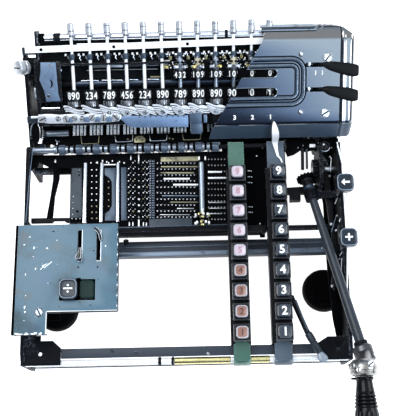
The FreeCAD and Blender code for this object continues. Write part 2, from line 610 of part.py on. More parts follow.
# the white bar that the knob shafts run in, and the round rod behind it
white = box("knob_bar", 302.5, 6, 6.4, -171, 42, -3.2)
white_cut = cut("knob_bar_drilled", white, row_holes("bar_hole", 40, 10))
rear_rod = cyl("rear_rod", "S.rear_rod_r", "S.carriage_w", (-158.5, 56, -8.0), (1, 0, 0))
rear_cap = cyl("rear_rod_cap", 4.2, 4.0, (-166, 56, -8.0), (1, 0, 0))
node(group("knob_rail", [white_cut, rear_rod, rear_cap], CT), "knob_rail")

# tens-carry levers, the screwed bar beside them and the stepped block
carry = []
for i in range(2, 8):
    x = DIAL_X[i]
    pl = pad("carry_lever_%d" % i, "XY_Plane",
             [[(x - 8.6, -12.9), (x - 8.6, -17), (x - 3, -20.8), (x + 4, -21.2), (x + 8.4, -17), (x + 8.4, -12.9),
               (x + 3, -11.7), (x - 3, -13.6)]], 1.2, place=Placement(Vector(0, 0, 5.9), Rotation()))
    carry.append(fuse("carry_set_%d" % i, [pl, cyl("carry_screw_%d" % i, 2.6, 1.4, (x - 0.5, -17.4, 7.0))]))
carry.append(box("carry_bar", 76, 9, 2.2, -158.4, -26, 5.9))
carry.append(box("carry_strip", 69, 7.5, 1.6, -79, -29.5, 5.9))
carry.append(box("carry_block", 12, 14, 3.4, -9, -29.8, 5.9))
node(group("carry_levers", carry, CT), "carry_levers")

# counter and register shafts, one per place, each with its twirler knob
for i, x in enumerate(DIAL_X):
    r = P["shaft_r"]
    dr, w = P["dial_r"], P["dial_w"] / 2
    prof = [(0, -16), (r, -16), (r, -11), (P["dial_gear_r"] - 1.6, -11), (P["dial_gear_r"] - 1.6, -w), (dr, -w), (dr, w), (r, w)]
    if i >= 6:
        prof += [(r, 15.2), (dr, 15.2), (dr, 22.8), (r, 22.8)]
    prof += [(r, 36.5), (2.7, 36.5), (2.7, 40.5), (r, 40.5), (r, 62.7), (2.4, 62.7), (P["knob_r"], 63.6), (P["knob_r"], 71.8),
             (2.4, 72.8), (0, 72.8)]
    name = "dial_shaft_%02d" % (i + 1)
    s = turned(name + "_turned", "XY_Plane", prof)
    teeth = pad(name + "_teeth", "XZ_Plane", [tooth_ring(16, P["dial_gear_r"] - 1.7, P["dial_gear_r"], 11.25, 8.0, 4.0)], 5.0,
                place=Placement(Vector(0, -6.0, 0), Rotation()))
    f = doc.addObject("Part::MultiFuse", name)
    f.Shapes = [s, teeth]
    f.Refine = True
    f.Placement = CT.multiply(Placement(Vector(x, 0, 0), Rotation()))
    node(f, name)

# left-hand knob on its slanting spindle
KD = Vector(-0.62, 0, 0.785)
KD.normalize()
kb = turned("carriage_knob_turned", "XZ_Plane",
            [(0, 0), (3.0, 0), (3.0, 4.0), (6.4, 4.0), (6.4, 8.0), (4.0, 8.4), (4.0, 10.0), (7.2, 10.4), (7.2, 15.4), (6.4, 16.2), (0, 16.2)],
            CT.multiply(Placement(Vector(-169, 29, -4.0), Rotation(Vector(0, 0, 1), KD))))
node(kb, "carriage_knob")

# clearing levers: a hub on the lever rod, a stem through the slot, a long handle
for label, y in (("upper_clear_lever", 26.5), ("lower_clear_lever", 2.0)):
    hub = cyl(label + "_hub", 4.5, 5.0, (112, y - 2.5, -2), (0, 1, 0))
    bore = cyl(label + "_bore", 2.05, 7.0, (112, y - 3.5, -2), (0, 1, 0))
    stem = box(label + "_stem", 23, 3.2, 3.0, 112, y - 1.6, -3.5, Rotation(Vector(0, 1, 0), 0))
    stem.Placement = Placement(Vector(112, 0, -2), Rotation(Vector(0, 1, 0), -52)).multiply(
        Placement(Vector(2.5, y - 1.6, -1.5), Rotation()))
    handle = pad(label + "_handle", "XY_Plane",
                 [[(123.5, y - 2.2), (133, y - 2.6), (147, y - 6.6), (154, y - 7.6), (157.6, y - 5.4), (157.6, y + 3.0), (154, y + 5.0),
                   (147, y + 4.4), (133, y + 2.0), (123.5, y + 1.6)]], 4.2, place=Placement(Vector(0, 0, 14.0), Rotation()))
    fz = fuse(label + "_solid", [hub, stem, handle])
    node(cut(label, fz, bore, CT), label)


# ---------------------------------------------------------------- cover
def yz(s, h):
    t = math.radians(P["carriage_tilt"])
    return (114.9 + s * math.cos(t) - h * math.sin(t), 113.6 + s * math.sin(t) + h * math.cos(t))


def cover_outline(d):
    """Cover section in the Y-Z plane, set in by d."""
    pts = [(75.2 + d, 77.5), (76.0 + d, 96.0), yz(-36.2 + d * 0.7, 9.2 - d), yz(-33.0 + d * 0.5, 11.0 - d)]
    for k in range(9):
        a = math.radians(90 - 118.0 * k / 8)
        pts.append(yz(50 + (16 - d) * math.cos(a), -5 + (16 - d) * math.sin(a)))
    pts.append((pts[-1][0], 116.0))
    pts += [(160.0, 112.0)] if d else [(160.0, 112.0)]
    return pts


# the shell is open below: the inner solid runs on under the outer one
outer_pts = [(75.2, 77.5), (76.0, 96.0), (77.4, 101.2), yz(-33.0, 11.0)]
for k in range(9):
    a = math.radians(90 - 118.5 * k / 8)
    outer_pts.append(yz(50 + 16 * math.cos(a), -5 + 16 * math.sin(a)))
yr = outer_pts[-1][0]
outer_pts += [(yr, 116.0), (160.0, 112.0)]
inner_pts = [(76.8, 70.0), (77.5, 96.0), (78.9, 100.6), yz(-32.6, 9.5)]
for k in range(9):
    a = math.radians(90 - 118.5 * k / 8)
    inner_pts.append(yz(50 + 14.5 * math.cos(a), -5 + 14.5 * math.sin(a)))
inner_pts += [(inner_pts[-1][0], 100.0), (160.0, 100.0)]

c_out = pad("cover_outer", "YZ_Plane", [outer_pts], "S.cover_right-S.cover_left",
            place=Placement(Vector(P["cover_left"], 0, 0), Rotation()))
c_in = pad("cover_inner", "YZ_Plane", [inner_pts], "S.cover_right-S.cover_left-S.cover_sheet+1",
           place=Placement(Vector(P["cover_left"] - 1, 0, 0), Rotation()))
# the rear right corner is cut off at an angle
ch_o = box("corner_out", 60, 40, 120, 0, 0, 0)
ch_o.Placement = Placement(Vector(136.5, yr, 60), Rotation(Vector(0, 0, 1), -47))
ch_i = box("corner_in", 60, 40, 120, 0, 0, 0)
ch_i.Placement = Placement(Vector(135.8, yr - 1.6, 60), Rotation(Vector(0, 0, 1), -47))
shell = cut("cover_shell", cut("cover_outer_cut", c_out, ch_o), cut("cover_inner_cut", c_in, ch_i))
# slanting left edge, windows, lever slots and the opening for the last knob, all square to the face
edge = pad("cover_edge_cut", "XY_Plane",
           [[(-40, -70), (9.5, -70), (14.0, -37), (65.0, 50), (61.5, 90), (-40, 90)]], 160.0,
           place=LOC.multiply(Placement(Vector(0, 0, -90), Rotation())))


def window(name, x0, x1, y, w):
    r = w / 2
    parts = [box(name + "_mid", x1 - x0 - w, w, 12, x0 + r, y - r, 5),
             cyl(name + "_l", r, 12, (x0 + r, y, 5)), cyl(name + "_r", r, 12, (x1 - r, y, 5))]
    return fuse(name, parts, LOC)


tools = [edge,
         window("upper_window", 38.0, 81.5, 18.9, 7.6), window("lower_window", 28.0, 82.0, 0.0, 8.6),
         window("upper_slot", 107.0, 130.0, 26.5, 4.6), window("lower_slot", 107.0, 130.0, 2.0, 4.6)]
knob_hole = cyl("knob_hole", 4.6, 30, (DIAL_X[11], 55, 0), (0, 1, 0))
knob_hole.Placement = LOC.multiply(knob_hole.Placement)
tools.append(knob_hole)
node(cut("register_cover", shell, tools, at()), "register_cover")

# ---------------------------------------------------------------- checks
doc.recompute()
bad = [o.Name for o in doc.Objects if ("Invalid" in o.State or "Error" in o.State)]
if bad:
    print("objects in error:", bad)
    sys.exit(1)
for o in NODES:
    s = o.Shape
    if s.isNull() or not s.isValid() or not s.Solids:
        print("bad shape:", o.Label)
        sys.exit(1)
labels = [o.Label for o in NODES]
if len(labels) != len(set(labels)) or len(labels) > 60:
    print("labels:", len(labels), sorted(labels))
    sys.exit(1)

os.makedirs("parts", exist_ok=True)
for f in os.listdir("parts"):
    if f.endswith(".step"):
        os.remove(os.path.join("parts", f))
bb = FreeCAD.BoundBox()
for o in NODES:
    o.Shape.exportStep("parts/%s.step" % o.Label)
    bb.add(o.Shape.BoundBox)
print("nodes", len(NODES), "solids", sum(len(o.Shape.Solids) for o in NODES))
print("box x %.3f..%.3f y %.3f..%.3f z %.3f..%.3f" % (bb.XMin, bb.XMax, bb.YMin, bb.YMax, bb.ZMin, bb.ZMax))
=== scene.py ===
import bpy
import bmesh
import math
import random
from mathutils import Matrix, Vector, Euler
from mathutils.geometry import delaunay_2d_cdt


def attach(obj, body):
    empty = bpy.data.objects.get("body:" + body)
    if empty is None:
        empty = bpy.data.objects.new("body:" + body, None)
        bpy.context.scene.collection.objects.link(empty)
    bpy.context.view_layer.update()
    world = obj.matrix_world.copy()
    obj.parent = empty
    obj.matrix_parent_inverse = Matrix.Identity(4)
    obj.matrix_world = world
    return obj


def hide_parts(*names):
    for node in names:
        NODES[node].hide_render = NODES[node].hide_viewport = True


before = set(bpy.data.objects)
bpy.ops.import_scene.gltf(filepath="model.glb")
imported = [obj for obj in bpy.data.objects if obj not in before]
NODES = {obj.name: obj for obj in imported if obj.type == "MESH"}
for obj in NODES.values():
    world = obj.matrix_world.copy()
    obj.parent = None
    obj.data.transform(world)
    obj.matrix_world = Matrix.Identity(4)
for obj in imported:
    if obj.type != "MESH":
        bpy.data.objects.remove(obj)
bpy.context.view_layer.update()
random.seed(7)

# Lengths below are millimetres in the machine's own drawing frame; SHIFT moves that frame to the part's origin.
SHIFT = Vector((11.4815, 19.6365, 0.0))
MM = Matrix.Scale(0.001, 4) @ Matrix.Translation(SHIFT)
TILT = math.radians(31.5)
CAR = Matrix.Translation((0, 114.9, 113.6)) @ Matrix.Rotation(TILT, 4, "X")   # carriage frame
DIAL_X = [-124.8 + 17.95 * i for i in range(12)]


def T(x=0, y=0, z=0):
    return Matrix.Translation((x, y, z))


def R(deg, axis):
    return Matrix.Rotation(math.radians(deg), 4, axis)


def frame_to(origin, zdir, xhint=(1, 0, 0)):
    """Matrix whose Z points along zdir."""
    z = Vector(zdir).normalized()
    x = Vector(xhint)
    x = (x - z * x.dot(z))
    if x.length < 1e-6:
        x = Vector((0, 1, 0)) - z * z.y
    x.normalize()
    y = z.cross(x)
    m = Matrix((x, y, z)).transposed().to_4x4()
    m.translation = Vector(origin)
    return m


# ------------------------------------------------------------------ materials
class Nt:
    def __init__(self, name):
        self.m = bpy.data.materials.new(name)
        self.m.use_nodes = True
        self.t = self.m.node_tree
        self.b = self.t.nodes["Principled BSDF"]
        self._vec = None

    def new(self, kind, **kw):
        n = self.t.nodes.new(kind)
        for k, v in kw.items():
            setattr(n, k, v)
        return n

    def link(self, a, b):
        self.t.links.new(a, b)

    def vec(self):
        if self._vec is None:
            self._vec = self.new("ShaderNodeTexCoord").outputs["Object"]
        return self._vec

    def mapped(self, scale, rot=(0, 0, 0)):
        n = self.new("ShaderNodeMapping")
        n.inputs["Scale"].default_value = scale
        n.inputs["Rotation"].default_value = rot
        self.link(self.vec(), n.inputs["Vector"])
        return n.outputs["Vector"]

    def noise(self, scale, detail=3.0, rough=0.55, vec=None, dist=0.0):
        n = self.new("ShaderNodeTexNoise")
        n.inputs["Scale"].default_value = scale
        n.inputs["Detail"].default_value = detail
        n.inputs["Roughness"].default_value = rough
        n.inputs["Distortion"].default_value = dist
        self.link(vec or self.vec(), n.inputs["Vector"])
        return n.outputs["Fac"]

    def voronoi(self, scale, feature="F1", vec=None, rand=1.0):
        n = self.new("ShaderNodeTexVoronoi", feature=feature)
        n.inputs["Scale"].default_value = scale
        n.inputs["Randomness"].default_value = rand
        self.link(vec or self.vec(), n.inputs["Vector"])
        return n.outputs["Distance"]

    def ramp(self, fac, stops, interp="LINEAR"):
        n = self.new("ShaderNodeValToRGB")
        e = n.color_ramp.elements
        n.color_ramp.interpolation = interp
        while len(e) < len(stops):
            e.new(0.5)
        for el, (p, c) in zip(e, stops):
            el.position = p
            el.color = (c, c, c, 1) if isinstance(c, (int, float)) else (*c, 1)
        self.link(fac, n.inputs["Fac"])
        return n.outputs["Color"]

    def math(self, op, a, b=None, clamp=False):
        n = self.new("ShaderNodeMath", operation=op, use_clamp=clamp)
        for k, v in enumerate((a, b)):
            if v is None:
                continue
            if isinstance(v, (int, float)):
                n.inputs[k].default_value = v
            else:
                self.link(v, n.inputs[k])
        return n.outputs[0]

    def mix(self, fac, a, b):
        n = self.new("ShaderNodeMix", data_type="RGBA")
        for sock, v in ((n.inputs[0], fac), (n.inputs[6], a), (n.inputs[7], b)):
            if isinstance(v, (int, float)):
                sock.default_value = v
            elif isinstance(v, tuple):
                sock.default_value = (*v, 1)
            else:
                self.link(v, sock)
        return n.outputs[2]

    def mixf(self, fac, a, b):
        n = self.new("ShaderNodeMix", data_type="FLOAT")
        for sock, v in ((n.inputs[0], fac), (n.inputs[2], a), (n.inputs[3], b)):
            if isinstance(v, (int, float)):
                sock.default_value = v
            else:
                self.link(v, sock)
        return n.outputs[0]

    def bump(self, height, strength=0.2, dist=0.0002, normal=None):
        n = self.new("ShaderNodeBump")
        n.inputs["Strength"].default_value = strength
        n.inputs["Distance"].default_value = dist
        self.link(height, n.inputs["Height"])
        if normal is not None:
            self.link(normal, n.inputs["Normal"])
        return n.outputs["Normal"]

    def edge(self, radius=0.0006, lo=0.02, hi=0.25):
        """1 on sharp edges, 0 on flats."""
        bv = self.new("ShaderNodeBevel", samples=4)
        bv.inputs["Radius"].default_value = radius
        g = self.new("ShaderNodeNewGeometry")
        d = self.new("ShaderNodeVectorMath", operation="DOT_PRODUCT")
        self.link(bv.outputs[0], d.inputs[0])
        self.link(g.outputs["True Normal"], d.inputs[1])
        inv = self.math("SUBTRACT", 1.0, d.outputs["Value"], clamp=True)
        return self.ramp(inv, [(lo, 0.0), (hi, 1.0)])

    def set(self, name, v):
        s = self.b.inputs[name]
        if isinstance(v, (int, float)):
            s.default_value = v
        elif isinstance(v, tuple):
            s.default_value = (*v, 1) if len(v) == 3 else v
        else:
            self.link(v, s)


def metal(name, c1, c2, r1, r2, scale=160, fine=1800, bump=0.05, brush=None, metallic=1.0, grime=0.0, grime_c=(0.02, 0.02, 0.025)):
    """Bare or plated metal: two tones, uneven gloss, fine grain or brushing, grime in patches."""
    n = Nt(name)
    v = n.mapped(brush) if brush else None
    tone = n.noise(scale, 4, 0.6)
    col = n.mix(tone, c1, c2)
    f = n.noise(fine if not brush else 1.0, 3, 0.6, vec=v)
    rough = n.math("ADD", n.math("MULTIPLY", tone, (r2 - r1) * 0.6), n.math("ADD", n.math("MULTIPLY", f, (r2 - r1) * 0.6), r1 - (r2 - r1) * 0.1), clamp=True)
    if grime > 0:
        g = n.ramp(n.noise(scale * 0.6, 5, 0.65, dist=0.4), [(0.62 - grime * 0.25, 0.0), (0.78 - grime * 0.2, 1.0)])
        col = n.mix(n.math("MULTIPLY", g, 0.75), col, grime_c)
        rough = n.math("ADD", rough, n.math("MULTIPLY", g, 0.25), clamp=True)
    n.set("Base Color", col)
    n.set("Roughness", rough)
    n.set("Metallic", metallic)
    n.set("Normal", n.bump(f, bump, 0.0002))
    return n.m


def paint(name, c1, c2, r1, r2, coat=0.3, scale=60, wear=(0.55, 0.56, 0.58), wear_amt=0.5, edge_r=0.0005, chips=0.0,
          stain=None, scratch=0.0, orange=0.04, dust=0.0, spec=0.5, coat_ior=1.5, spots=()):
    """Paint or enamel over metal, worn to the metal on edges and in chips."""
    n = Nt(name)
    tone = n.noise(scale, 4, 0.6, dist=0.3)
    col = n.mix(tone, c1, c2)
    rough = n.math("ADD", n.math("MULTIPLY", tone, r2 - r1), r1)
    if stain is not None:
        s = n.ramp(n.noise(scale * 1.1, 4, 0.7, dist=1.0), [(0.55, 0.0), (0.72, 1.0)])
        col = n.mix(n.math("MULTIPLY", s, 0.55), col, stain)
    if dust > 0:
        dn = n.ramp(n.noise(900, 4, 0.7), [(0.6, 0.0), (0.75, 1.0)])
        col = n.mix(n.math("MULTIPLY", dn, dust), col, (0.4, 0.42, 0.45))
    if spots:
        warp = n.math("MULTIPLY", n.math("SUBTRACT", n.noise(260, 4, 0.7), 0.5), 0.012)
        patch = n.ramp(n.noise(520, 4, 0.7), [(0.30, 0.25), (0.60, 1.0)])
        for x, y, z, r, c, amt in spots:
            d = n.new("ShaderNodeVectorMath", operation="DISTANCE")
            n.link(n.vec(), d.inputs[0])
            d.inputs[1].default_value = tuple(MM @ Vector((x, y, z)))
            q = n.math("DIVIDE", n.math("ADD", d.outputs["Value"], warp), r * 0.001)
            f = n.math("MULTIPLY", n.ramp(q, [(0.35, 1.0), (1.0, 0.0)]), patch)
            col = n.mix(n.math("MULTIPLY", f, amt), col, c)
    mask = None
    if wear_amt > 0:
        e = n.edge(edge_r)
        brk = n.ramp(n.noise(420, 4, 0.7), [(0.62 - wear_amt * 0.4, 0.0), (0.72 - wear_amt * 0.3, 1.0)])
        mask = n.math("MULTIPLY", e, brk)
    if chips > 0:
        ch = n.ramp(n.noise(170, 5, 0.72, dist=0.6), [(0.735 - chips * 0.1, 0.0), (0.75 - chips * 0.1, 1.0)])
        mask = ch if mask is None else n.math("MAXIMUM", mask, ch)
    if scratch > 0:
        v = n.mapped((60, 900, 60), (0, 0, 0.7))
        sc = n.ramp(n.noise(1.0, 2, 0.5, vec=v), [(0.72, 0.0), (0.74, 1.0)])
        sc = n.math("MULTIPLY", sc, n.ramp(n.noise(35, 2), [(0.55, 0.0), (0.6, 1.0)]))
        sc = n.math("MULTIPLY", sc, scratch)
        mask = sc if mask is None else n.math("MAXIMUM", mask, sc)
    if mask is not None:
        col = n.mix(mask, col, wear)
        n.set("Metallic", n.math("MULTIPLY", mask, 0.85))
        rough = n.mixf(mask, rough, 0.32)
    n.set("Base Color", col)
    n.set("Roughness", rough)
    n.set("Coat Weight", coat)
    n.set("Coat Roughness", 0.08)
    n.set("Coat IOR", coat_ior)
    n.set("Specular IOR Level", spec)
    n.set("Normal", n.bump(n.noise(700, 3, 0.5), orange, 0.0002))
    return n.m


def plastic(name, c1, c2, r1, r2, coat=0.4, scale=220, spec=0.5, bump=0.03):
    n = Nt(name)
    tone = n.noise(scale, 4, 0.6)
    n.set("Base Color", n.mix(tone, c1, c2))
    n.set("Roughness", n.math("ADD", n.math("MULTIPLY", tone, r2 - r1), r1))
    n.set("Coat Weight", coat)
    n.set("Coat Roughness", 0.06)
    n.set("Specular IOR Level", spec)
    n.set("Normal", n.bump(n.noise(1200, 3, 0.5), bump, 0.0001))
    return n.m


MAT = {
    "enamel": paint("black_gloss_enamel", (0.003, 0.004, 0.008), (0.007, 0.010, 0.018), 0.07, 0.16, coat=1.0, scale=11,
                    wear_amt=0.45, edge_r=0.0006, wear=(0.62, 0.68, 0.74), orange=0.02, dust=0.05, scratch=0.5, spec=0.8, coat_ior=2.3),
    "frame": paint("black_frame_paint", (0.0014, 0.0017, 0.0024), (0.006, 0.007, 0.010), 0.40, 0.58, coat=0.0, scale=80,
                   wear_amt=0.40, edge_r=0.0005, wear=(0.22, 0.25, 0.30), dust=0.01, spec=0.04, orange=0.02),
    "dark": paint("dark_oiled_steel", (0.0014, 0.0016, 0.0022), (0.006, 0.007, 0.009), 0.40, 0.58, coat=0.0, scale=150,
                  wear_amt=0.46, edge_r=0.00035, wear=(0.38, 0.42, 0.48), dust=0.02, spec=0.08),
    "panel": paint("worn_blue_grey_paint", (0.040, 0.096, 0.136), (0.066, 0.138, 0.192), 0.34, 0.50, coat=0.08, scale=20,
                   wear_amt=0.7, edge_r=0.0009, chips=0.42, stain=(0.040, 0.055, 0.055), scratch=0.8,
                   wear=(0.30, 0.33, 0.31), orange=0.10, spec=0.35,
                   spots=((-173.0, -29.0, 100, 8.5, (0.085, 0.085, 0.085), 0.75), (-139.5, -38.5, 100, 8.0, (0.085, 0.100, 0.105), 0.6), (-167.0, -88.0, 100, 6.0, (0.080, 0.085, 0.085), 0.7),
                          (-177.0, -83.0, 100, 5.0, (0.090, 0.080, 0.080), 0.6), (-174.0, -114.0, 100, 15.0, (0.026, 0.052, 0.060), 0.85), (-160.0, -119.0, 100, 9.0, (0.030, 0.055, 0.080), 0.8),
                          (-178.0, -106.0, 100, 8.0, (0.022, 0.045, 0.050), 0.8), (-86.0, -66.0, 100, 7.0, (0.040, 0.075, 0.095), 0.5), (-115.0, -95.0, 100, 5.0, (0.025, 0.050, 0.060), 0.6),
                          (-151.0, -70.0, 100, 9.0, (0.060, 0.105, 0.190), 0.5), (-104.0, -60.0, 100, 9.0, (0.060, 0.105, 0.190), 0.4), (-125.0, -22.0, 100, 8.0, (0.035, 0.080, 0.110), 0.5))),
    "green": paint("green_enamel", (0.010, 0.062, 0.042), (0.026, 0.112, 0.080), 0.18, 0.34, coat=0.5, scale=60,
                   wear_amt=0.6, edge_r=0.0006, wear=(0.50, 0.66, 0.60)),
    "slate": paint("slate_blue_enamel", (0.036, 0.054, 0.076), (0.066, 0.094, 0.128), 0.32, 0.50, coat=0.08, scale=60, spec=0.3,
                   wear_amt=0.6, edge_r=0.0006, wear=(0.55, 0.62, 0.68), chips=0.15),
    "black_side": paint("black_column_sides", (0.0014, 0.0016, 0.0022), (0.006, 0.007, 0.009), 0.35, 0.5, coat=0.0,
                        wear_amt=0.35, edge_r=0.0004, wear=(0.3, 0.33, 0.38), spec=0.1),
    "ivory": paint("ivory_bar_enamel", (0.86, 0.86, 0.85), (0.74, 0.75, 0.76), 0.22, 0.36, coat=0.3, scale=50,
                   wear_amt=0.25, edge_r=0.0004, wear=(0.35, 0.36, 0.38)),
    "white": plastic("white_figures", (0.88, 0.88, 0.86), (0.78, 0.78, 0.77), 0.40, 0.55, coat=0.0),
    "chrome": metal("chrome_plate", (0.92, 0.94, 0.97), (0.80, 0.83, 0.88), 0.10, 0.24, bump=0.02),
    "shaft": metal("bright_shaft", (0.93, 0.94, 0.96), (0.80, 0.82, 0.86), 0.22, 0.34, bump=0.03, metallic=0.25),
    "knob": metal("satin_knob", (0.60, 0.61, 0.63), (0.42, 0.43, 0.46), 0.20, 0.34, bump=0.05, metallic=0.6),
    "band": metal("grey_band", (0.10, 0.11, 0.13), (0.20, 0.21, 0.24), 0.28, 0.42, bump=0.05, metallic=0.7),
    "leverwhite": metal("bright_carry_lever", (0.86, 0.88, 0.91), (0.62, 0.65, 0.70), 0.24, 0.4, bump=0.06, metallic=0.5, grime=0.15),
    "slateplate": metal("slate_blue_plate", (0.105, 0.155, 0.235), (0.165, 0.235, 0.340), 0.30, 0.45, bump=0.06, metallic=0.4, grime=0.15),
    "darkgear": metal("dark_gear", (0.06, 0.07, 0.085), (0.16, 0.17, 0.20), 0.28, 0.42, bump=0.05, grime=0.3),
    "nickel": metal("nickel_plate", (0.86, 0.85, 0.83), (0.70, 0.69, 0.68), 0.18, 0.34, bump=0.05),
    "steel": metal("bright_steel", (0.72, 0.76, 0.82), (0.52, 0.57, 0.64), 0.22, 0.40, bump=0.06, grime=0.25),
    "blued": metal("blued_steel", (0.019, 0.034, 0.055), (0.034, 0.056, 0.086), 0.30, 0.46, bump=0.05, grime=0.2, metallic=0.4),
    "bluepale": metal("pale_blued_steel", (0.10, 0.16, 0.27), (0.20, 0.29, 0.44), 0.28, 0.44, bump=0.05, grime=0.15, metallic=0.45),
    "brass": metal("brass", (0.50, 0.42, 0.16), (0.68, 0.62, 0.34), 0.20, 0.36, bump=0.04, grime=0.2, grime_c=(0.12, 0.09, 0.03)),
    "khaki": metal("pale_brass_strip", (0.17, 0.16, 0.095), (0.27, 0.255, 0.165), 0.36, 0.52, bump=0.05, grime=0.3, metallic=0.5),
    "collar": metal("grey_collar_steel", (0.34, 0.39, 0.46), (0.18, 0.215, 0.265), 0.24, 0.40, bump=0.05, metallic=0.7, grime=0.2),
    "tooth": metal("bright_tooth", (0.92, 0.93, 0.95), (0.80, 0.82, 0.85), 0.30, 0.45, bump=0.04, metallic=0.1),
    # ribtop: the raised rib on the rear roll in pale metal: painted highlight
    "ribtop": metal("rib_painted_highlight", (0.42, 0.46, 0.50), (0.20, 0.22, 0.235), 0.16, 0.30, scale=70, bump=0.03, metallic=0.6, grime=0.2),
    # skirt: the black cover enamel in a lighter slate blue on the front skirt and the bead bodies: painted sheen
    "skirt": paint("enamel_painted_sheen", (0.034, 0.055, 0.084), (0.062, 0.090, 0.128), 0.34, 0.50, coat=0.0, scale=45,
                   wear_amt=0.5, edge_r=0.0006, wear=(0.50, 0.56, 0.62), dust=0.04, scratch=0.3, spec=0.25),
    "cream": metal("cream_brass_tube", (0.62, 0.56, 0.42), (0.40, 0.35, 0.25), 0.26, 0.42, bump=0.05, metallic=0.3, grime=0.2),
    "stepplate": metal("dark_slate_plate", (0.040, 0.065, 0.100), (0.085, 0.125, 0.185), 0.26, 0.40, bump=0.05, metallic=0.4, grime=0.15),
    # framelit: the black frame paint in a lighter blue-grey for faces that catch the light (painted light), with real
    # chips
    "framelit": paint("frame_paint_painted_light", (0.020, 0.026, 0.038), (0.028, 0.036, 0.051), 0.34, 0.52, coat=0.0, scale=70,
                      wear_amt=0.5, edge_r=0.0006, wear=(0.32, 0.36, 0.42), chips=0.25, dust=0.02, spec=0.2),
    # bead: pale strips along bead tops, window rims and the rear roll: painted highlights
    "bead": metal("raised_edge_painted_highlight", (0.30, 0.36, 0.43), (0.16, 0.20, 0.26), 0.10, 0.22, bump=0.02, metallic=0.85, grime=0.15),
    "keyblack": plastic("black_key_plastic", (0.005, 0.006, 0.009), (0.010, 0.012, 0.018), 0.16, 0.30, coat=0.15, spec=0.3),
    "keyblue": plastic("blue_black_key_top", (0.010, 0.017, 0.028), (0.022, 0.034, 0.052), 0.16, 0.28, coat=0.4, spec=0.4),
    "keyring": plastic("pale_key_ring", (0.44, 0.42, 0.46), (0.30, 0.29, 0.32), 0.20, 0.32, coat=0.3),
    "keypale": plastic("pale_pink_key_top", (0.50, 0.42, 0.48), (0.40, 0.32, 0.38), 0.22, 0.34, coat=0.3),
    "keysalmon": plastic("salmon_key_top", (0.25, 0.125, 0.095), (0.19, 0.088, 0.066), 0.22, 0.34, coat=0.25),
    "pinkfig": plastic("pink_figures", (0.30, 0.16, 0.19), (0.36, 0.21, 0.24), 0.4, 0.5, coat=0.1),
    "brownfig": plastic("brown_figures", (0.060, 0.014, 0.010), (0.085, 0.022, 0.014), 0.4, 0.5, coat=0.1),
    "greenkey": plastic("dark_green_key", (0.003, 0.012, 0.011), (0.007, 0.023, 0.020), 0.40, 0.55, coat=0.0, spec=0.12),
    "greykey": plastic("slate_key_top", (0.006, 0.011, 0.020), (0.012, 0.020, 0.032), 0.24, 0.38, coat=0.12, spec=0.22),
    "grip": plastic("black_grip", (0.0010, 0.0012, 0.0018), (0.0030, 0.0035, 0.0045), 0.10, 0.20, coat=0.0, bump=0.06, spec=0.13),
    "lever": plastic("lever_handle_black", (0.0012, 0.0014, 0.002), (0.005, 0.0055, 0.006), 0.40, 0.60, coat=0.0, bump=0.2, spec=0.12),
    "rubber": plastic("foot_rubber", (0.0014, 0.0014, 0.0016), (0.0035, 0.0035, 0.004), 0.55, 0.75, coat=0.0, bump=0.25, spec=0.03),
    "dial": plastic("dial_black", (0.004, 0.0045, 0.006), (0.010, 0.011, 0.014), 0.30, 0.45, coat=0.0, spec=0.25),
    # void: black used for shade in slots, gaps and the depths of the works (painted shade), and for a few black parts
    "void": plastic("black_and_painted_shade", (0.0008, 0.0009, 0.0012), (0.0022, 0.0024, 0.003), 0.60, 0.80, coat=0.0, spec=0.02),
    "grille": metal("grey_blue_plate", (0.009, 0.016, 0.024), (0.020, 0.031, 0.044), 0.40, 0.56, bump=0.08, grime=0.3, metallic=0.4),
}


# ------------------------------------------------------------------ mesh building
class Piece:
    def __init__(self, name):
        self.name = name
        self.v, self.f, self.m, self.mats = [], [], [], []

    def mi(self, mat):
        if mat not in self.mats:
            self.mats.append(mat)
        return self.mats.index(mat)

    def add(self, verts, faces, mat, M=None):
        base = len(self.v)
        if M is None:
            self.v.extend([tuple(p) for p in verts])
        else:
            self.v.extend([tuple(M @ Vector(p)) for p in verts])
        fm = [mat] * len(faces) if isinstance(mat, str) else mat
        flip = M is not None and M.determinant() < 0
        for f, m in zip(faces, fm):
            self.f.append([base + i for i in (reversed(f) if flip else f)])
            self.m.append(self.mi(m))

    def done(self, body, replaces=(), M=None, angle=32.0):
        me = bpy.data.meshes.new(self.name)
        me.from_pydata(self.v, [], self.f)
        for k in self.mats:
            me.materials.append(MAT[k])
        me.polygons.foreach_set("material_index", self.m)
        me.transform(MM @ (M or Matrix.Identity(4)))
        me.update()
        finish_mesh(me, angle)
        o = bpy.data.objects.new(self.name, me)
        bpy.context.scene.collection.objects.link(o)
        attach(o, body)
        if replaces:
            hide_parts(*replaces)
        return o


def finish_mesh(me, angle=32.0):
    bm = bmesh.new()
    bm.from_mesh(me)
    bmesh.ops.recalc_face_normals(bm, faces=bm.faces)
    lim = math.radians(angle)
    for f in bm.faces:
        f.smooth = True
    for e in bm.edges:
        if len(e.link_faces) == 2:
            e.smooth = e.calc_face_angle(0.0) < lim
        else:
            e.smooth = False
    bm.to_mesh(me)
    bm.free()


def bm_out(bm):
    bm.verts.index_update()
    return [v.co.copy() for v in bm.verts], [[v.index for v in f.verts] for f in bm.faces]


_box_cache = {}


def bbox(p, mat, lo, hi, bevel=0.3, M=None, seg=2):
    """Box with rounded edges."""
    lo, hi = Vector(lo), Vector(hi)
    d = hi - lo
    bevel = min(bevel, min(d) * 0.45)
    key = (round(d.x, 3), round(d.y, 3), round(d.z, 3), round(bevel, 3), seg)
    if key not in _box_cache:
        bm = bmesh.new()
        bmesh.ops.create_cube(bm, size=1.0)
        for v in bm.verts:
            v.co = Vector((v.co.x * d.x, v.co.y * d.y, v.co.z * d.z))
        if bevel > 0.01:
            bmesh.ops.bevel(bm, geom=list(bm.edges), offset=bevel, segments=seg, affect="EDGES", profile=0.5)
        _box_cache[key] = bm_out(bm)
        bm.free()
    v, f = _box_cache[key]
    p.add(v, f, mat, (M or Matrix.Identity(4)) @ Matrix.Translation((lo + hi) / 2))


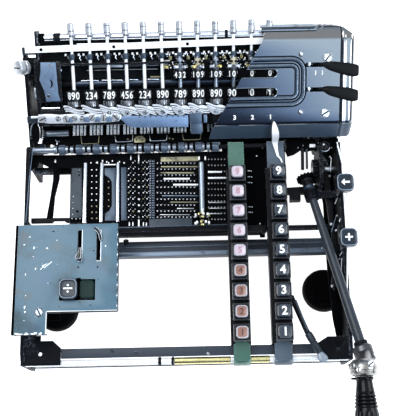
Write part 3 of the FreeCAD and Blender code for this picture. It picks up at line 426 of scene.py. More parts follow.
def lathe(p, mat, prof, M=None, seg=28, flute=None, caps=True):
    """prof is [(r, t[, mat])...] turned about local Z; flute=(n, depth, t0, t1) makes grooves along the axis."""
    verts, faces, mats = [], [], []
    rows = []
    for item in prof:
        r, t = item[0], item[1]
        row = []
        if r < 1e-6:
            row = [len(verts)]
            verts.append((0, 0, t))
        else:
            for k in range(seg):
                a = 2 * math.pi * k / seg
                rr = r
                if flute and flute[2] - 1e-6 <= t <= flute[3] + 1e-6:
                    rr = r - flute[1] * (k % 2)
                row.append(len(verts))
                verts.append((rr * math.cos(a), rr * math.sin(a), t))
        rows.append(row)
    for i in range(len(rows) - 1):
        a, b = rows[i], rows[i + 1]
        m = prof[i + 1][2] if len(prof[i + 1]) > 2 else mat
        n = max(len(a), len(b))
        if len(a) == 1 and len(b) == 1:
            continue
        for k in range(seg):
            k2 = (k + 1) % seg
            if len(a) == 1:
                faces.append([a[0], b[k2], b[k]])
            elif len(b) == 1:
                faces.append([a[k], a[k2], b[0]])
            else:
                faces.append([a[k], a[k2], b[k2], b[k]])
            mats.append(m)
    if caps:
        if len(rows[0]) > 1:
            faces.append(list(reversed(rows[0])))
            mats.append(mat)
        if len(rows[-1]) > 1:
            faces.append(list(rows[-1]))
            mats.append(mat)
    p.add(verts, faces, mats, M)


def rod(p, mat, a, b, r, seg=20, ch=0.3, M=None):
    """Round bar from a to b with chamfered ends."""
    a, b = Vector(a), Vector(b)
    L = (b - a).length
    ch = min(ch, r * 0.4, L * 0.3)
    F = frame_to(a, b - a)
    lathe(p, mat, [(0, 0), (r - ch, 0), (r, ch), (r, L - ch), (r - ch, L), (0, L)], (M or Matrix.Identity(4)) @ F, seg)


def plate(p, mat, outer, z0, z1, holes=(), M=None, bevel=0.0, side=None):
    """Flat plate with holes: outer and holes are lists of 2-D points."""
    loops = [list(outer)] + [list(h) for h in holes]
    pts, edges = [], []
    for lp in loops:
        b = len(pts)
        pts += [Vector(q) for q in lp]
        edges += [(b + k, b + (k + 1) % len(lp)) for k in range(len(lp))]
    vo, eo, fo, ov, oe, of = delaunay_2d_cdt(pts, edges, [], 2 if not holes else 2, 1e-5)
    # keep faces inside the outer loop and outside every hole

    def inside(q, lp):
        c, n = False, len(lp)
        for i in range(n):
            x1, y1 = lp[i]
            x2, y2 = lp[(i + 1) % n]
            if (y1 > q[1]) != (y2 > q[1]) and q[0] < (x2 - x1) * (q[1] - y1) / (y2 - y1) + x1:
                c = not c
        return c

    keep = []
    for f in fo:
        c = sum((vo[i] for i in f), Vector((0, 0))) / len(f)
        if inside(c, loops[0]) and not any(inside(c, h) for h in loops[1:]):
            a = vo[f[0]]; b = vo[f[1]]; d = vo[f[2]]
            area = (b.x - a.x) * (d.y - a.y) - (b.y - a.y) * (d.x - a.x)
            keep.append(list(f) if area > 0 else list(reversed(f)))
    bm = bmesh.new()
    bot = [bm.verts.new((v.x, v.y, z0)) for v in vo]
    top = [bm.verts.new((v.x, v.y, z1)) for v in vo]
    cnt = {}
    for f in keep:
        bm.faces.new([top[i] for i in f])
        bm.faces.new([bot[i] for i in reversed(f)])
        for k in range(len(f)):
            a, b = f[k], f[(k + 1) % len(f)]
            cnt[(a, b)] = cnt.get((a, b), 0) + 1
    rim = []
    for (a, b) in cnt:
        if (b, a) not in cnt:
            bm.faces.new([top[b], top[a], bot[a], bot[b]])
            rim.append((a, b))
    loose = [v for v in bm.verts if not v.link_faces]
    bmesh.ops.delete(bm, geom=loose, context="VERTS")
    if bevel > 0:
        es = []
        for e in bm.edges:
            if len(e.link_faces) == 2 and abs(e.verts[0].co.z - e.verts[1].co.z) < 1e-6:
                n0, n1 = e.link_faces[0].normal, e.link_faces[1].normal
                e.link_faces[0].normal_update(); e.link_faces[1].normal_update()
                if abs(e.link_faces[0].normal.z - e.link_faces[1].normal.z) > 0.5 and e.verts[0].co.z > (z0 + z1) / 2:
                    es.append(e)
        if es:
            bmesh.ops.bevel(bm, geom=es, offset=bevel, segments=2, affect="EDGES", profile=0.5, clamp_overlap=True)
    v, f = bm_out(bm)
    bm.free()
    p.add(v, f, mat, M)


def circle(cx, cy, r, n=20, a0=0.0):
    return [(cx + r * math.cos(a0 + 2 * math.pi * k / n), cy + r * math.sin(a0 + 2 * math.pi * k / n)) for k in range(n)]


def slot2d(x0, x1, y, w, n=8):
    r = w / 2
    pts = [(x1 - r + r * math.cos(t), y + r * math.sin(t)) for t in [math.radians(-90 + 180 * k / n) for k in range(n + 1)]]
    pts += [(x0 + r + r * math.cos(t), y + r * math.sin(t)) for t in [math.radians(90 + 180 * k / n) for k in range(n + 1)]]
    return pts


def rrect(x0, y0, x1, y1, r, n=5):
    pts = []
    for cx, cy, a0 in ((x1 - r, y1 - r, 0), (x0 + r, y1 - r, 90), (x0 + r, y0 + r, 180), (x1 - r, y0 + r, 270)):
        for k in range(n + 1):
            t = math.radians(a0 + 90 * k / n)
            pts.append((cx + r * math.cos(t), cy + r * math.sin(t)))
    return pts


def gear(p, mat, n, rr, rt, t0, t1, bore=0.0, M=None, root=0.55, tip=0.28, phase=0.0):
    pts = []
    for k in range(n):
        c = 2 * math.pi * k / n + phase
        w = math.pi / n
        for r, da in ((rr, -root * w * 1.0), (rt, -tip * w), (rt, tip * w), (rr, root * w)):
            pts.append((r * math.cos(c + da), r * math.sin(c + da)))
    holes = [circle(0, 0, bore, 18)] if bore > 0 else []
    plate(p, mat, pts, t0, t1, holes, M, bevel=min(0.18, (rt - rr) * 0.15))


def sweep(p, mat, path, r, seg=10, M=None, closed=False, caps=True, flat=None):
    """Round (or flattened) bar along a path of points."""
    pts = [Vector(q) for q in path]
    n = len(pts)
    verts, faces = [], []
    up = Vector((0, 0, 1))
    prev = None
    for i in range(n):
        if closed:
            d = pts[(i + 1) % n] - pts[i - 1]
        else:
            d = pts[min(i + 1, n - 1)] - pts[max(i - 1, 0)]
        d.normalize()
        if prev is None:
            x = d.cross(up)
            if x.length < 0.05:
                x = d.cross(Vector((1, 0, 0)))
            x.normalize()
        else:
            x = prev - d * prev.dot(d)
            x.normalize()
        prev = x
        y = d.cross(x)
        for k in range(seg):
            a = 2 * math.pi * k / seg
            rx, ry = (r, r) if flat is None else flat
            verts.append(pts[i] + x * (rx * math.cos(a)) + y * (ry * math.sin(a)))
    m = n if closed else n - 1
    for i in range(m):
        for k in range(seg):
            a, b = i * seg, ((i + 1) % n) * seg
            faces.append([a + k, b + k, b + (k + 1) % seg, a + (k + 1) % seg])
    if not closed and caps:
        faces.append([k for k in range(seg)])
        faces.append([(n - 1) * seg + k for k in reversed(range(seg))])
    p.add(verts, faces, mat, M)


def loft(p, mat, rings, M=None, cap0=True, cap1=True, mats=None):
    """Rings of equal count joined in order."""
    n = len(rings[0])
    verts = [q for ring in rings for q in ring]
    faces, fm = [], []
    for i in range(len(rings) - 1):
        for k in range(n):
            faces.append([i * n + k, i * n + (k + 1) % n, (i + 1) * n + (k + 1) % n, (i + 1) * n + k])
            fm.append(mats[i] if mats else mat)
    if cap0:
        faces.append([k for k in reversed(range(n))])
        fm.append(mats[0] if mats else mat)
    if cap1:
        faces.append([(len(rings) - 1) * n + k for k in range(n)])
        fm.append(mats[-1] if mats else mat)
    p.add(verts, faces, fm, M)


def screw(p, x, y, z, r=2.2, h=1.1, ang=30.0, mat="steel", M=None, slotmat="void", dome=0.35):
    """Slotted cheese head standing on (x, y, z) of the local plane."""
    M0 = (M or Matrix.Identity(4)) @ T(x, y, z) @ R(ang, "Z")
    lathe(p, mat, [(0, 0), (r, 0), (r, h * 0.55), (0, h * 0.55)], M0, 22)
    w = r * 0.16
    for sgn in (1, -1):
        ring0, ring1, ring2 = [], [], []
        a0 = math.asin(w / r)
        arc = [a0 + (math.pi - 2 * a0) * k / 10 for k in range(11)]
        for lst, rr, zz in ((ring0, r, h * 0.5), (ring1, r, h * (1 - dome)), (ring2, r * 0.82, h)):
            for a in arc:
                yy = max(rr * math.sin(a), w)
                lst.append((rr * math.cos(a), sgn * yy, zz))
        rings = [ring0, ring1, ring2]
        if sgn < 0:
            rings = [list(reversed(q)) for q in rings]
        loft(p, mat, rings, M0)
    # the slot's floor takes slotmat, black by default: painted shade in the slot
    bbox(p, slotmat, (-r * 0.97, -w * 1.02, h * 0.45), (r * 0.97, w * 1.02, h * 0.58), 0.0, M0)


_text_cache = {}


def text_geo(s, size, depth, fat):
    key = (s, size, depth, fat)
    if key not in _text_cache:
        cu = bpy.data.curves.new("fig", "FONT")
        cu.body = s
        cu.size = size
        cu.extrude = depth / 2
        cu.offset = fat
        cu.align_x = "CENTER"
        cu.align_y = "CENTER"
        cu.resolution_u = 3
        ob = bpy.data.objects.new("fig", cu)
        bpy.context.scene.collection.objects.link(ob)
        dg = bpy.context.evaluated_depsgraph_get()
        me = bpy.data.meshes.new_from_object(ob.evaluated_get(dg))
        bm = bmesh.new()
        bm.from_mesh(me)
        bmesh.ops.remove_doubles(bm, verts=bm.verts, dist=1e-4)
        xs = [v.co.x for v in bm.verts]
        ys = [v.co.y for v in bm.verts]
        cx, cy = (min(xs) + max(xs)) / 2, (min(ys) + max(ys)) / 2
        for v in bm.verts:
            v.co.x -= cx
            v.co.y -= cy
        w = (max(xs) - min(xs)) / 2
        k = -w + 0.8
        while k < w:
            bmesh.ops.bisect_plane(bm, geom=list(bm.verts) + list(bm.edges) + list(bm.faces), plane_co=(k, 0, 0), plane_no=(1, 0, 0))
            k += 0.8
        _text_cache[key] = bm_out(bm)
        bm.free()
        bpy.data.objects.remove(ob)
        bpy.data.curves.remove(cu)
        bpy.data.meshes.remove(me)
    return _text_cache[key]


def figure(p, s, mat, size, M, depth=0.3, fat=0.06, warp=None, sx=1.0):
    v, f = text_geo(s, size, depth, fat)
    v = [Vector((q.x * sx, q.y, q.z)) for q in v]
    if warp:
        v = [warp(q) for q in v]
    p.add(v, f, mat, M)


def dress(node, mat, bevel=0.35, angle=30):
    """A CAD node keeps its mesh; it gets a finish and rounded edges."""
    o = NODES[node]
    me = o.data
    me.materials.clear()
    me.materials.append(MAT[mat])
    for poly in me.polygons:
        poly.material_index = 0
        poly.use_smooth = True
    w = o.modifiers.new("weld", "WELD")
    w.merge_threshold = 1e-6
    if bevel > 0:
        b = o.modifiers.new("edges", "BEVEL")
        b.width = bevel * 0.001
        b.segments = 2
        b.limit_method = "ANGLE"
        b.angle_limit = math.radians(angle)
        b.use_clamp_overlap = True
        b.harden_normals = True
    return o


# ------------------------------------------------------------------ finishes of the CAD nodes
for n, m, b in (("left_side_frame", "frame", 0.5), ("right_side_frame", "frame", 0.5), ("front_bars", "frame", 0.4),
                ("cross_rails", "framelit", 0.6), ("rubber_feet", "rubber", 0.8), ("function_panel", "panel", 0.35),
                ("green_key_channel", "green", 0.3), ("black_key_channel", "slate", 0.3), ("setting_bed", "dark", 0.25),
                ("fixed_rods", "chrome", 0.3), ("position_pointer", "ivory", 0.2), ("carriage_frame", "dark", 0.3),
                ("register_cover", "enamel", 0.3), ("knob_rail", "ivory", 0.3), ("carry_levers", "steel", 0.2),
                ("transfer_gears", "blued", 0.0), ("pinwheel_rotor", "steel", 0.0), ("drive_gear", "steel", 0.0),
                ("crank", "dark", 0.3), ("crank_grip", "grip", 0.0), ("arrow_key", "greykey", 0.5), ("plus_key", "greykey", 0.5),
                ("divide_key", "greykey", 0.6), ("blank_key", "greenkey", 0.5), ("left_selector_lever", "steel", 0.3),
                ("right_selector_lever", "steel", 0.3), ("shift_lever", "dark", 0.3), ("carriage_knob", "nickel", 0.3),
                ("upper_clear_lever", "lever", 0.5), ("lower_clear_lever", "lever", 0.5)):
    dress(n, m, b)
for k in range(1, 10):
    dress("green_key_%d" % k, "keyblack", 0.4)
    dress("black_key_%d" % k, "keyblack", 0.4)
for k in range(1, 13):
    dress("dial_shaft_%02d" % k, "nickel", 0.0)


# ------------------------------------------------------------------ keys
def rsq(w, r, z, h=None, n=5, cx=0.0, cy=0.0):
    h = w if h is None else h
    return [(x, y, z) for x, y in rrect(cx - w / 2, cy - h / 2, cx + w / 2, cy + h / 2, min(r, w / 2 - 0.01, h / 2 - 0.01), n)]


def dish(x, y):
    return 25.2 - math.sqrt(max(26.0 ** 2 - x * x - y * y, 1.0))


def number_key(label, x, k, digit, style):
    p = Piece(label + "_cap")
    sl = math.radians(4.04)
    M = T(x, 33.0 - 19.8 * k * math.cos(sl), 105.0 - 19.8 * k * math.sin(sl)) @ Matrix.Rotation(sl, 4, "X")
    top, ring, fig, neck = {"dark": ("keyblue", "keyblue", "white", "keyblack"),
                            "pale": ("keypale", "keyring", "pinkfig", "keyblack"),
                            "salmon": ("keysalmon", "keyring", "brownfig", "keyblack")}[style]
    W = 12.0 if style == "dark" else 11.4
    rings = [(16.2, 0.9, -14.0, "keyblack"), (16.4, 0.9, -13.7, "keyblack"), (16.4, 0.9, -6.9, "keyblack"), (16.25, 0.95, -6.45, "keyedge"),
             (15.8, 1.1, -6.1, "keyedge"), (15.3, 1.5, -6.15, "keyblack"), (W + 2.3, 2.9, -6.0, "keyblack"), (W + 1.5, 3.1, -4.9, "keyblack"),
             (W + 0.5, 3.2, -1.9, neck), (W + 0.2, 3.2, -0.9, ring), (W - 0.15, 3.2, -0.25, ring), (W - 0.7, 3.1, -0.02, ring),
             (W - 1.3, 2.95, -0.05, ring), (W - 1.9, 2.8, -0.22, ring)]
    rs = [rsq(w, r, z) for w, r, z, _ in rings]
    mats = [q[3] for q in rings[1:]]
    for w in (W - 2.4, W - 4.5, W - 7.0, W - 9.0, 1.0):
        ring_ = [(a, b, dish(a, b) + 0.02) for a, b, _ in rsq(w, 2.6 * w / W + 0.05, 0)]
        rs.append(ring_)
        mats.append(top)
    loft(p, "keyblack", rs, mats=mats, M=None)
    bbox(p, "steel", (-3, -0.8, -27.5), (3, 0.8, -13.9), 0.2)
    size = 11.2 if style == "dark" else 8.4
    figure(p, str(digit), fig, size, T(0, 0, 0), depth=0.30, fat=0.34 if style == "dark" else 0.22,
           warp=lambda q: Vector((q.x, q.y, dish(q.x, q.y) + q.z + 0.05)))
    p.done(label, [label], M, angle=38)


# keyedge: the grey chamfer ring round each key base, partly a rim and partly a painted highlight on its lit edge
MAT["keyedge"] = plastic("key_edge_rim_and_painted_highlight", (0.12, 0.13, 0.15), (0.05, 0.055, 0.065), 0.2, 0.35, coat=0.3)
for k in range(9):
    d = 9 - k
    number_key("green_key_%d" % d, 38.0, k, d, "pale" if d >= 5 else "salmon")
    number_key("black_key_%d" % d, 79.0, k, d, "dark")


def cap_key(label, x0, y0, x1, y1, z0, z1, r, top, side, rim, stem, legend=None, dep=0.5):
    """Flat-topped key with a rounded rim; legend(p, M) adds its sign."""
    p = Piece(label + "_cap")
    cx, cy, w, h = (x0 + x1) / 2, (y0 + y1) / 2, x1 - x0, y1 - y0
    ht = z1 - z0
    prof = [(-0.2, 0.0, side), (0.5, 0.5, side), (0.5, ht - 2.0, side), (0.1, ht - 0.9, side), (-0.7, ht - 0.3, side), (-1.5, ht - 0.02, rim), (-2.3, ht, rim),
            (-2.8, ht - 0.02, top), (-3.6, ht - dep * 0.45, top), (-6.5, ht - dep * 0.8, top), (-11.0, ht - dep, top)]
    rs, mats = [], []
    for dw, z, m in prof:
        rs.append(rsq(w + dw, max(r + dw * 0.35, 0.6), z, h + dw))
        mats.append(m)
    loft(p, side, rs, mats=mats[1:])
    for lo, hi in stem:
        bbox(p, "steel", (lo[0] - cx, lo[1] - cy, lo[2] - z0), (hi[0] - cx, hi[1] - cy, hi[2] - z0), 0.25)
    if legend:
        legend(p, ht - dep)
    p.done(label, [label], T(cx, cy, z0), angle=38)


def leg_plus(p, z):
    w, l = 0.85, 3.7
    plate(p, "white", [(-l, -w), (-w, -w), (-w, -l), (w, -l), (w, -w), (l, -w), (l, w), (w, w), (w, l), (-w, l), (-w, w), (-l, w)], z - 0.3, z + 0.32)


def leg_arrow(p, z):
    plate(p, "white", [(-4.3, 0), (-0.9, -3.5), (-0.9, -1.0), (4.2, -1.0), (4.2, 1.0), (-0.9, 1.0), (-0.9, 3.5)], z - 0.3, z + 0.32)


def leg_divide(p, z):
    plate(p, "white", rrect(-4.3, -0.75, 4.3, 0.75, 0.3), z - 0.3, z + 0.32)
    for s in (-1, 1):
        plate(p, "white", circle(0, 3.1 * s, 1.05, 14), z - 0.3, z + 0.32)


MAT["capside"] = plastic("cap_side", (0.012, 0.015, 0.020), (0.025, 0.030, 0.037), 0.2, 0.35, coat=0.3, spec=0.3)
MAT["caprim"] = plastic("cap_rim", (0.20, 0.26, 0.33), (0.09, 0.12, 0.16), 0.2, 0.35, coat=0.3)
cap_key("arrow_key", 136.1, 10.5, 153.1, 28.5, 97, 105, 5.0, "greykey", "capside", "caprim", [((138.5, 12.0, 82.5), (140.1, 20.0, 97.2))], leg_arrow)
cap_key("plus_key", 135.4, -45.7, 152.4, -27.7, 97, 105, 5.0, "greykey", "capside", "caprim", [((138.5, -44.2, 82.5), (140.1, -36.2, 97.2))], leg_plus)
cap_key("divide_key", -135.7, -91.8, -118.5, -72.5, 101.2, 108, 5.0, "greykey", "capside", "caprim", [((-133, -89, 93.5), (-121, -75, 101.3))], leg_divide)
cap_key("blank_key", -116.8, -90.9, -103.2, -73.3, 98.2, 102.2, 3.2, "greenkey", "greenkey", "greenkey", [((-114.5, -88, 92.5), (-105.5, -76, 98.4))], None, dep=0.3)


MAT["stud"] = metal("stud_steel", (0.45, 0.47, 0.50), (0.25, 0.26, 0.28), 0.25, 0.4, grime=0.3)


# ------------------------------------------------------------------ register shafts, dials and twirler knobs
def wrap(r, s0, flip=False):
    """Lays flat figures on a drum whose axis is local Y, at height +Z."""
    def f(q):
        a = q.x / r
        rr = r + q.z
        return Vector((rr * math.sin(a), q.y + s0, rr * math.cos(a)))
    return f


def dial_figures(p, centre, step, r, s0, size, fat, sx):
    for k in range(10):
        d = (centre + k * step) % 10
        M = Matrix.Rotation(math.radians(36.0 * k), 4, "Y")
        figure(p, str(d), "white", size, M, depth=0.36, fat=fat, warp=wrap(r, s0), sx=sx)


LOWER = [9, 3, 8, 5, 3, 9, 8, 9, 9, 0, 0, 1]
UPPER = {6: 3, 7: 0, 8: 0, 9: 0, 10: 0, 11: 0}
YAX = Matrix(((1, 0, 0, 0), (0, 0, 1, 0), (0, -1, 0, 0), (0, 0, 0, 1)))   # local Z of a lathe becomes +Y


def dial_shaft(i):
    x = DIAL_X[i]
    name = "dial_shaft_%02d" % (i + 1)
    p = Piece(name + "_turned")
    A = YAX
    # shaft and its stepped collar
    collar = "brass" if i in (7, 9) else "steel"
    prof = [(0, -16), (1.2, -16), (1.5, -15.6), (1.5, 36.4), (2.5, 36.4), (2.7, 36.7), (2.7, 40.3), (2.5, 40.5), (1.5, 40.5), (1.5, 63.0), (0, 63.0)]
    lathe(p, "shaft", [(1.5, -5.0), (1.72, -4.8), (1.72, 36.4), (1.5, 36.6)], A, 20, caps=True)
    lathe(p, "shaft", prof, A, 20)
    lathe(p, "blued", [(1.7, 35.2), (2.75, 35.4), (2.95, 35.8), (2.95, 40.6), (2.75, 40.9), (1.7, 41.0)], A, 24, caps=True)
    if i >= 6:
        lathe(p, "cream" if i in (7, 9) else "collar", [(1.45, 27.6), (2.9, 27.6), (3.1, 27.9), (3.1, 34.4), (2.9, 34.8), (1.45, 34.8)], A, 26)
        lathe(p, "collar", [(1.7, 5.6), (1.95, 5.8), (1.95, 15.0), (1.7, 15.2)], A, 22, caps=True)
    # register dial: black drum with white figures between two lips
    lathe(p, "dial", [(1.4, -5), (7.2, -5), (7.5, -4.8), (7.5, -4.35), (7.25, -4.2), (7.25, 4.2), (7.5, 4.35), (7.5, 4.8), (7.2, 5), (5.6, 5), (5.3, 4.6),
                      (2.6, 4.6), (2.4, 5.6), (1.4, 5.6)], A, 40)
    dial_figures(p, LOWER[i], 1, 7.25, 0.0, 10.3, 0.16, 0.80)
    # gear in front of the dial, with its hub
    gear(p, "stud", 20, 5.2, 7.0, -11.0, -6.0, 0, A @ T(0, 0, 0), phase=math.radians(11.25))
    lathe(p, "darkgear", [(1.4, -12.0), (3.2, -12.0), (3.4, -11.7), (3.4, -5.0), (1.4, -5.0)], A, 20)
    if i >= 6:
        lathe(p, "dial", [(1.4, 15.2), (7.2, 15.2), (7.5, 15.4), (7.5, 15.75), (7.28, 15.9), (7.28, 22.1), (7.5, 22.25), (7.5, 22.6), (7.2, 22.8), (5.2, 22.8),
                          (5.0, 22.4), (1.4, 22.4)], A, 40)
        dial_figures(p, UPPER[i], -1, 7.28, 19.0, 8.2, 0.13, 0.80)
        gear(p, "darkgear", 16, 4.4, 5.9, 23.4, 25.6, 0, A)
        lathe(p, "darkgear", [(1.4, 25.6), (3.0, 25.6), (3.0, 27.2), (2.4, 27.6), (1.4, 27.6)], A, 20)
    # twirler knob: banded or knurled
    seg = 36
    r = 3.8
    lathe(p, "band", [(0, 57.6), (2.0, 57.6), (2.3, 57.8), (2.3, 59.6), (0, 59.6)], A, 24)
    if i % 3 == 0:
        prof = [(0, 59.4), (r - 0.3, 59.4), (r, 59.7), (r, 63.0), (r - 0.6, 63.1), (r - 0.6, 63.9), (r, 64.0), (r, 70.5), (r - 0.35, 70.9), (2.5, 71.3), (2.4, 71.9), (0, 72.0)]
        lathe(p, "knob", prof, A, seg, flute=(16, 0.28, 64.3, 70.2))
        lathe(p, "band", [(3.0, 63.05), (3.3, 63.1), (3.3, 63.9), (3.0, 63.95)], A, seg, caps=True)
    elif i % 3 == 1:
        prof = [(0, 59.4), (3.1, 59.4), (3.1, 61.0), (r - 0.2, 61.2), (r, 61.4), (r, 66.4), (r - 0.6, 66.5), (r - 0.6, 67.3), (r, 67.4), (r, 70.5), (r - 0.35, 70.9), (2.5, 71.3), (2.4, 71.9), (0, 72.0)]
        lathe(p, "knob", prof, A, seg, flute=(16, 0.28, 61.8, 66.0))
        lathe(p, "band", [(3.0, 66.45), (3.3, 66.5), (3.3, 67.3), (3.0, 67.35)], A, seg, caps=True)
    else:
        prof = [(0, 59.4), (r - 0.3, 59.4), (r, 59.7), (r, 61.4), (r - 0.5, 61.5), (r - 0.5, 62.1), (r, 62.2), (r, 68.0), (r - 0.5, 68.1), (r - 0.5, 68.7), (r, 68.8), (r, 70.5), (r - 0.35, 70.9), (0, 71.1)]
        lathe(p, "knob", prof, A, seg)
        for t in (61.45, 68.05):
            lathe(p, "band", [(3.1, t), (3.4, t + 0.03), (3.4, t + 0.63), (3.1, t + 0.65)], A, seg, caps=True)
    lathe(p, "band", [(3.2, 70.6), (3.55, 70.75), (3.3, 70.98), (3.0, 71.0)], A, seg, caps=True)
    p.done(name, [name], CAR @ T(x, 0, 0), angle=35)


for i in range(12):
    dial_shaft(i)

# ------------------------------------------------------------------ white bar, rod behind it, their screws and collars
p = Piece("knob_bar_and_rod")
holes = [circle(x, 0, 1.75, 16) for x in DIAL_X]
FY = Matrix(((1, 0, 0, 0), (0, 0, 1, 42.0), (0, 1, 0, 0), (0, 0, 0, 1)))   # plate drawn in (x, h), thick along s
BAR = T(-171, 43, 0) @ R(1.05, "Z") @ T(171, -42, 0)
plate(p, "ivory", rrect(-171, -3.2, 131.5, 3.2, 0.5, 3), 0.0, 6.2, holes, BAR @ FY, bevel=0.35)
for x in (-154.8, -82.3, -9.0, 126.0):
    screw(p, x, 45.0, 3.2, 1.55, 0.7, 40, "void", M=BAR)
RX = lambda a, b, r, m, s=56.5, h=-8.6, seg=28: lathe(p, m, [(0, 0), (r - 0.25, 0), (r, 0.25), (r, b - a - 0.25), (r - 0.25, b - a), (0, b - a)], frame_to((a, s, h), (1, 0, 0)), seg)
RX(-152.6, 131.4, 4.6, "chrome")
lathe(p, "void", [(0, 0), (4.4, 0), (5.2, 0.9), (5.3, 5.2), (4.7, 6.0), (0, 6.0)], frame_to((-158.4, 56.5, -8.6), (1, 0, 0)), 28)
lathe(p, "dark", [(0, 0), (4.9, 0), (5.2, 0.4), (5.2, 6.8), (4.9, 7.2), (0, 7.2)], frame_to((-143.5, 56.5, -8.6), (1, 0, 0)), 28)
lathe(p, "dark", [(0, 0), (4.9, 0), (5.1, 0.3), (5.1, 2.9), (4.9, 3.2), (0, 3.2)], frame_to((28.4, 56.5, -8.6), (1, 0, 0)), 28)
# black strips below the rod: painted shade under it
bbox(p, "void", (-157.0, 49.4, -4.8), (-120.0, 53.8, -3.8), 0.2)
bbox(p, "void", (-120.0, 51.0, -4.8), (131.2, 53.8, -3.8), 0.2)
p.done("carriage", ["knob_rail"], CAR)

# ------------------------------------------------------------------ tens-carry levers, screwed bars
p = Piece("carry_lever_set")
for i in range(0, 9):
    x = DIAL_X[i]
    if i == 8:
        x = DIAL_X[8]
    out = [(-8.6, -13.1), (-8.8, -15.6), (-7.2, -18.0), (-4.2, -20.6), (-0.5, -21.6), (3.2, -20.9), (5.2, -18.6), (7.2, -16.9), (8.7, -16.4),
           (8.8, -13.4), (6.0, -12.1), (3.0, -11.6), (0.0, -12.4), (-3.0, -13.7), (-6.0, -13.4)]
    if i > 1:
        plate(p, "leverwhite", [(x + a, b) for a, b in out], 5.9, 7.1, [circle(x + 5.6, -14.6, 0.8, 10)], bevel=0.25)
    # slanting strands that lie over the next lever
    for j, (m_, w_, dh) in enumerate((("leverwhite", 0.95, 0.0), ("void", 0.34, -0.15), ("leverwhite", 0.8, 0.1), ("void", 0.3, -0.1), ("leverwhite", 0.7, 0.2))):
        o_ = (0.0, 1.35, 2.5, 3.6, 4.6)[j]
        path = []
        for k in range(10):
            t = k / 9.0
            q = t * t * (3 - 2 * t)
            path.append((x - 10.6 + 19.6 * t + 0.5 * j, -10.4 - 4.6 * q - o_ + 0.5 * math.sin(7 * t + i), 7.6 + dh + 0.35 * q))
        sweep(p, m_, path, 0.5, 8, flat=(w_, 0.34))
    if i > 1:
        screw(p, x - 0.5, -17.4, 7.1, 2.6, 1.4, 35 + 23 * i, "nickel")
# bright bar with its row of screws at the left
plate(p, "leverwhite", [(-162.0, -25.6), (-150, -27.2), (-120, -27.4), (-100, -27.2), (-88, -26.8), (-80.5, -26.2), (-77.6, -23), (-77.4, -20.2), (-82, -17.6), (-90, -18.4), (-100, -19.8),
                   (-108, -17.6), (-118, -19.4), (-127, -17.8), (-140, -18.6), (-150, -17.4), (-161.0, -17.8)], 5.9, 8.1, bevel=0.3)
for k, (x, y, r) in enumerate(((-157.2, -22.6, 3.3), (-141.4, -22.4, 2.2), (-133.4, -22.8, 2.9), (-125.0, -22.2, 2.4), (-117.2, -23.2, 2.0), (-107.6, -22.0, 2.6), (-95.6, -22.4, 2.7), (-83.2, -22.0, 3.6))):
    screw(p, x, y, 8.1, r, 1.2, 25 + 41 * k, "knob")
    lathe(p, "dark", [(r, 0), (r + 0.45, 0), (r + 0.45, 0.25), (r, 0.25)], T(x, y, 8.1), 22, caps=True)
for k, x in enumerate((-129.4, -112.6, -101.6, -90.0)):
    plate(p, "slateplate", [(x - 3.2, -26.4), (x + 2.6, -26.4), (x + 3.6, -23.6), (x + 1.2, -20.6), (x - 2.2, -21.4)], 8.05, 8.35, bevel=0.1)
    plate(p, "void", [(x - 6.2, -20.6), (x - 3.4, -21.6), (x - 3.0, -18.6)], 8.05, 8.2)
# flat blued strip and stepped block
plate(p, "bluepale", [(-80, -22.6), (-76, -26.6), (-71.5, -31.2), (-66.0, -33.0), (-10.0, -33.6), (-10.0, -21.6), (-79, -21.0)], 5.9, 7.5, bevel=0.25)
plate(p, "stepplate", [(-7.6, -40.5), (3.6, -40.9), (3.6, -28.4), (2.6, -27.4), (-7.6, -27.2)], 5.9, 8.2, bevel=0.4)
plate(p, "stepplate", [(-8.6, -30.0), (3.6, -30.2), (3.6, -19.6), (-8.6, -19.2)], 8.0, 9.3, bevel=0.4)
bbox(p, "void", (4.4, -31.0, 5.6), (14.6, -20.0, 6.6), 0.2)
bbox(p, "slateplate", (5.6, -29.6, 6.4), (9.0, -21.4, 7.4), 0.3)
for k in range(9):
    bbox(p, "dark", (-60.0 + 5.6 * k, -22.6, 7.4), (-58.6 + 5.6 * k, -21.7, 8.2), 0.1)
for k in range(6):
    x = DIAL_X[2 + k] + 9.0
    bbox(p, "dark", (x - 0.6, -21.5, 5.9), (x + 0.6, -15.5, 6.7), 0.2)
p.done("carriage", ["carry_levers"], CAR)

# ------------------------------------------------------------------ inside of the open carriage
p = Piece("carriage_inner_works")
# face plate on the left end with its curved slot
arc = [(-146.9 + 1.8 * math.cos(t) * 1.5, 12.9 + 4.1 * math.sin(t)) for t in [math.radians(-90 + 180 * k / 8) for k in range(9)]]
arc += [(-146.9 + 0.5 * math.cos(t) * 1.5, 12.9 + 2.6 * math.sin(t)) for t in [math.radians(90 - 180 * k / 8) for k in range(9)]]
plate(p, "slateplate", [(-155.1, 34.2), (-140.2, 33.8), (-139.5, 2.7), (-137.8, -4.3), (-151.9, -4.7), (-153.3, 6.0), (-157.4, 17.0), (-155.7, 24.8)],
      8.02, 9.2, [arc], bevel=0.3)
screw(p, -149.4, 0.8, 9.2, 1.9, 1.0, 20, "chrome")
screw(p, -145.6, 31.0, 9.2, 1.5, 0.8, 70, "steel")
# bracket and pin at the left edge
plate(p, "steel", [(-163.5, -1.5), (-152.5, -1.5), (-152.5, 4.0), (-158.5, 4.8), (-160.0, 9.0), (-163.5, 9.0)], 6.2, 7.8, [circle(-160.6, 1.4, 1.5, 14)], bevel=0.3)
rod(p, "steel", (-169.5, -21.0, 3.0), (-160.0, -21.0, 3.0), 1.5)
lathe(p, "dark", [(0, 0), (1.6, 0), (3.1, 2.8), (3.3, 5.5), (2.2, 7.0), (0, 7.2)], frame_to((-163.0, 13.4, 1.0), (-0.75, 0, 0.66)), 20)
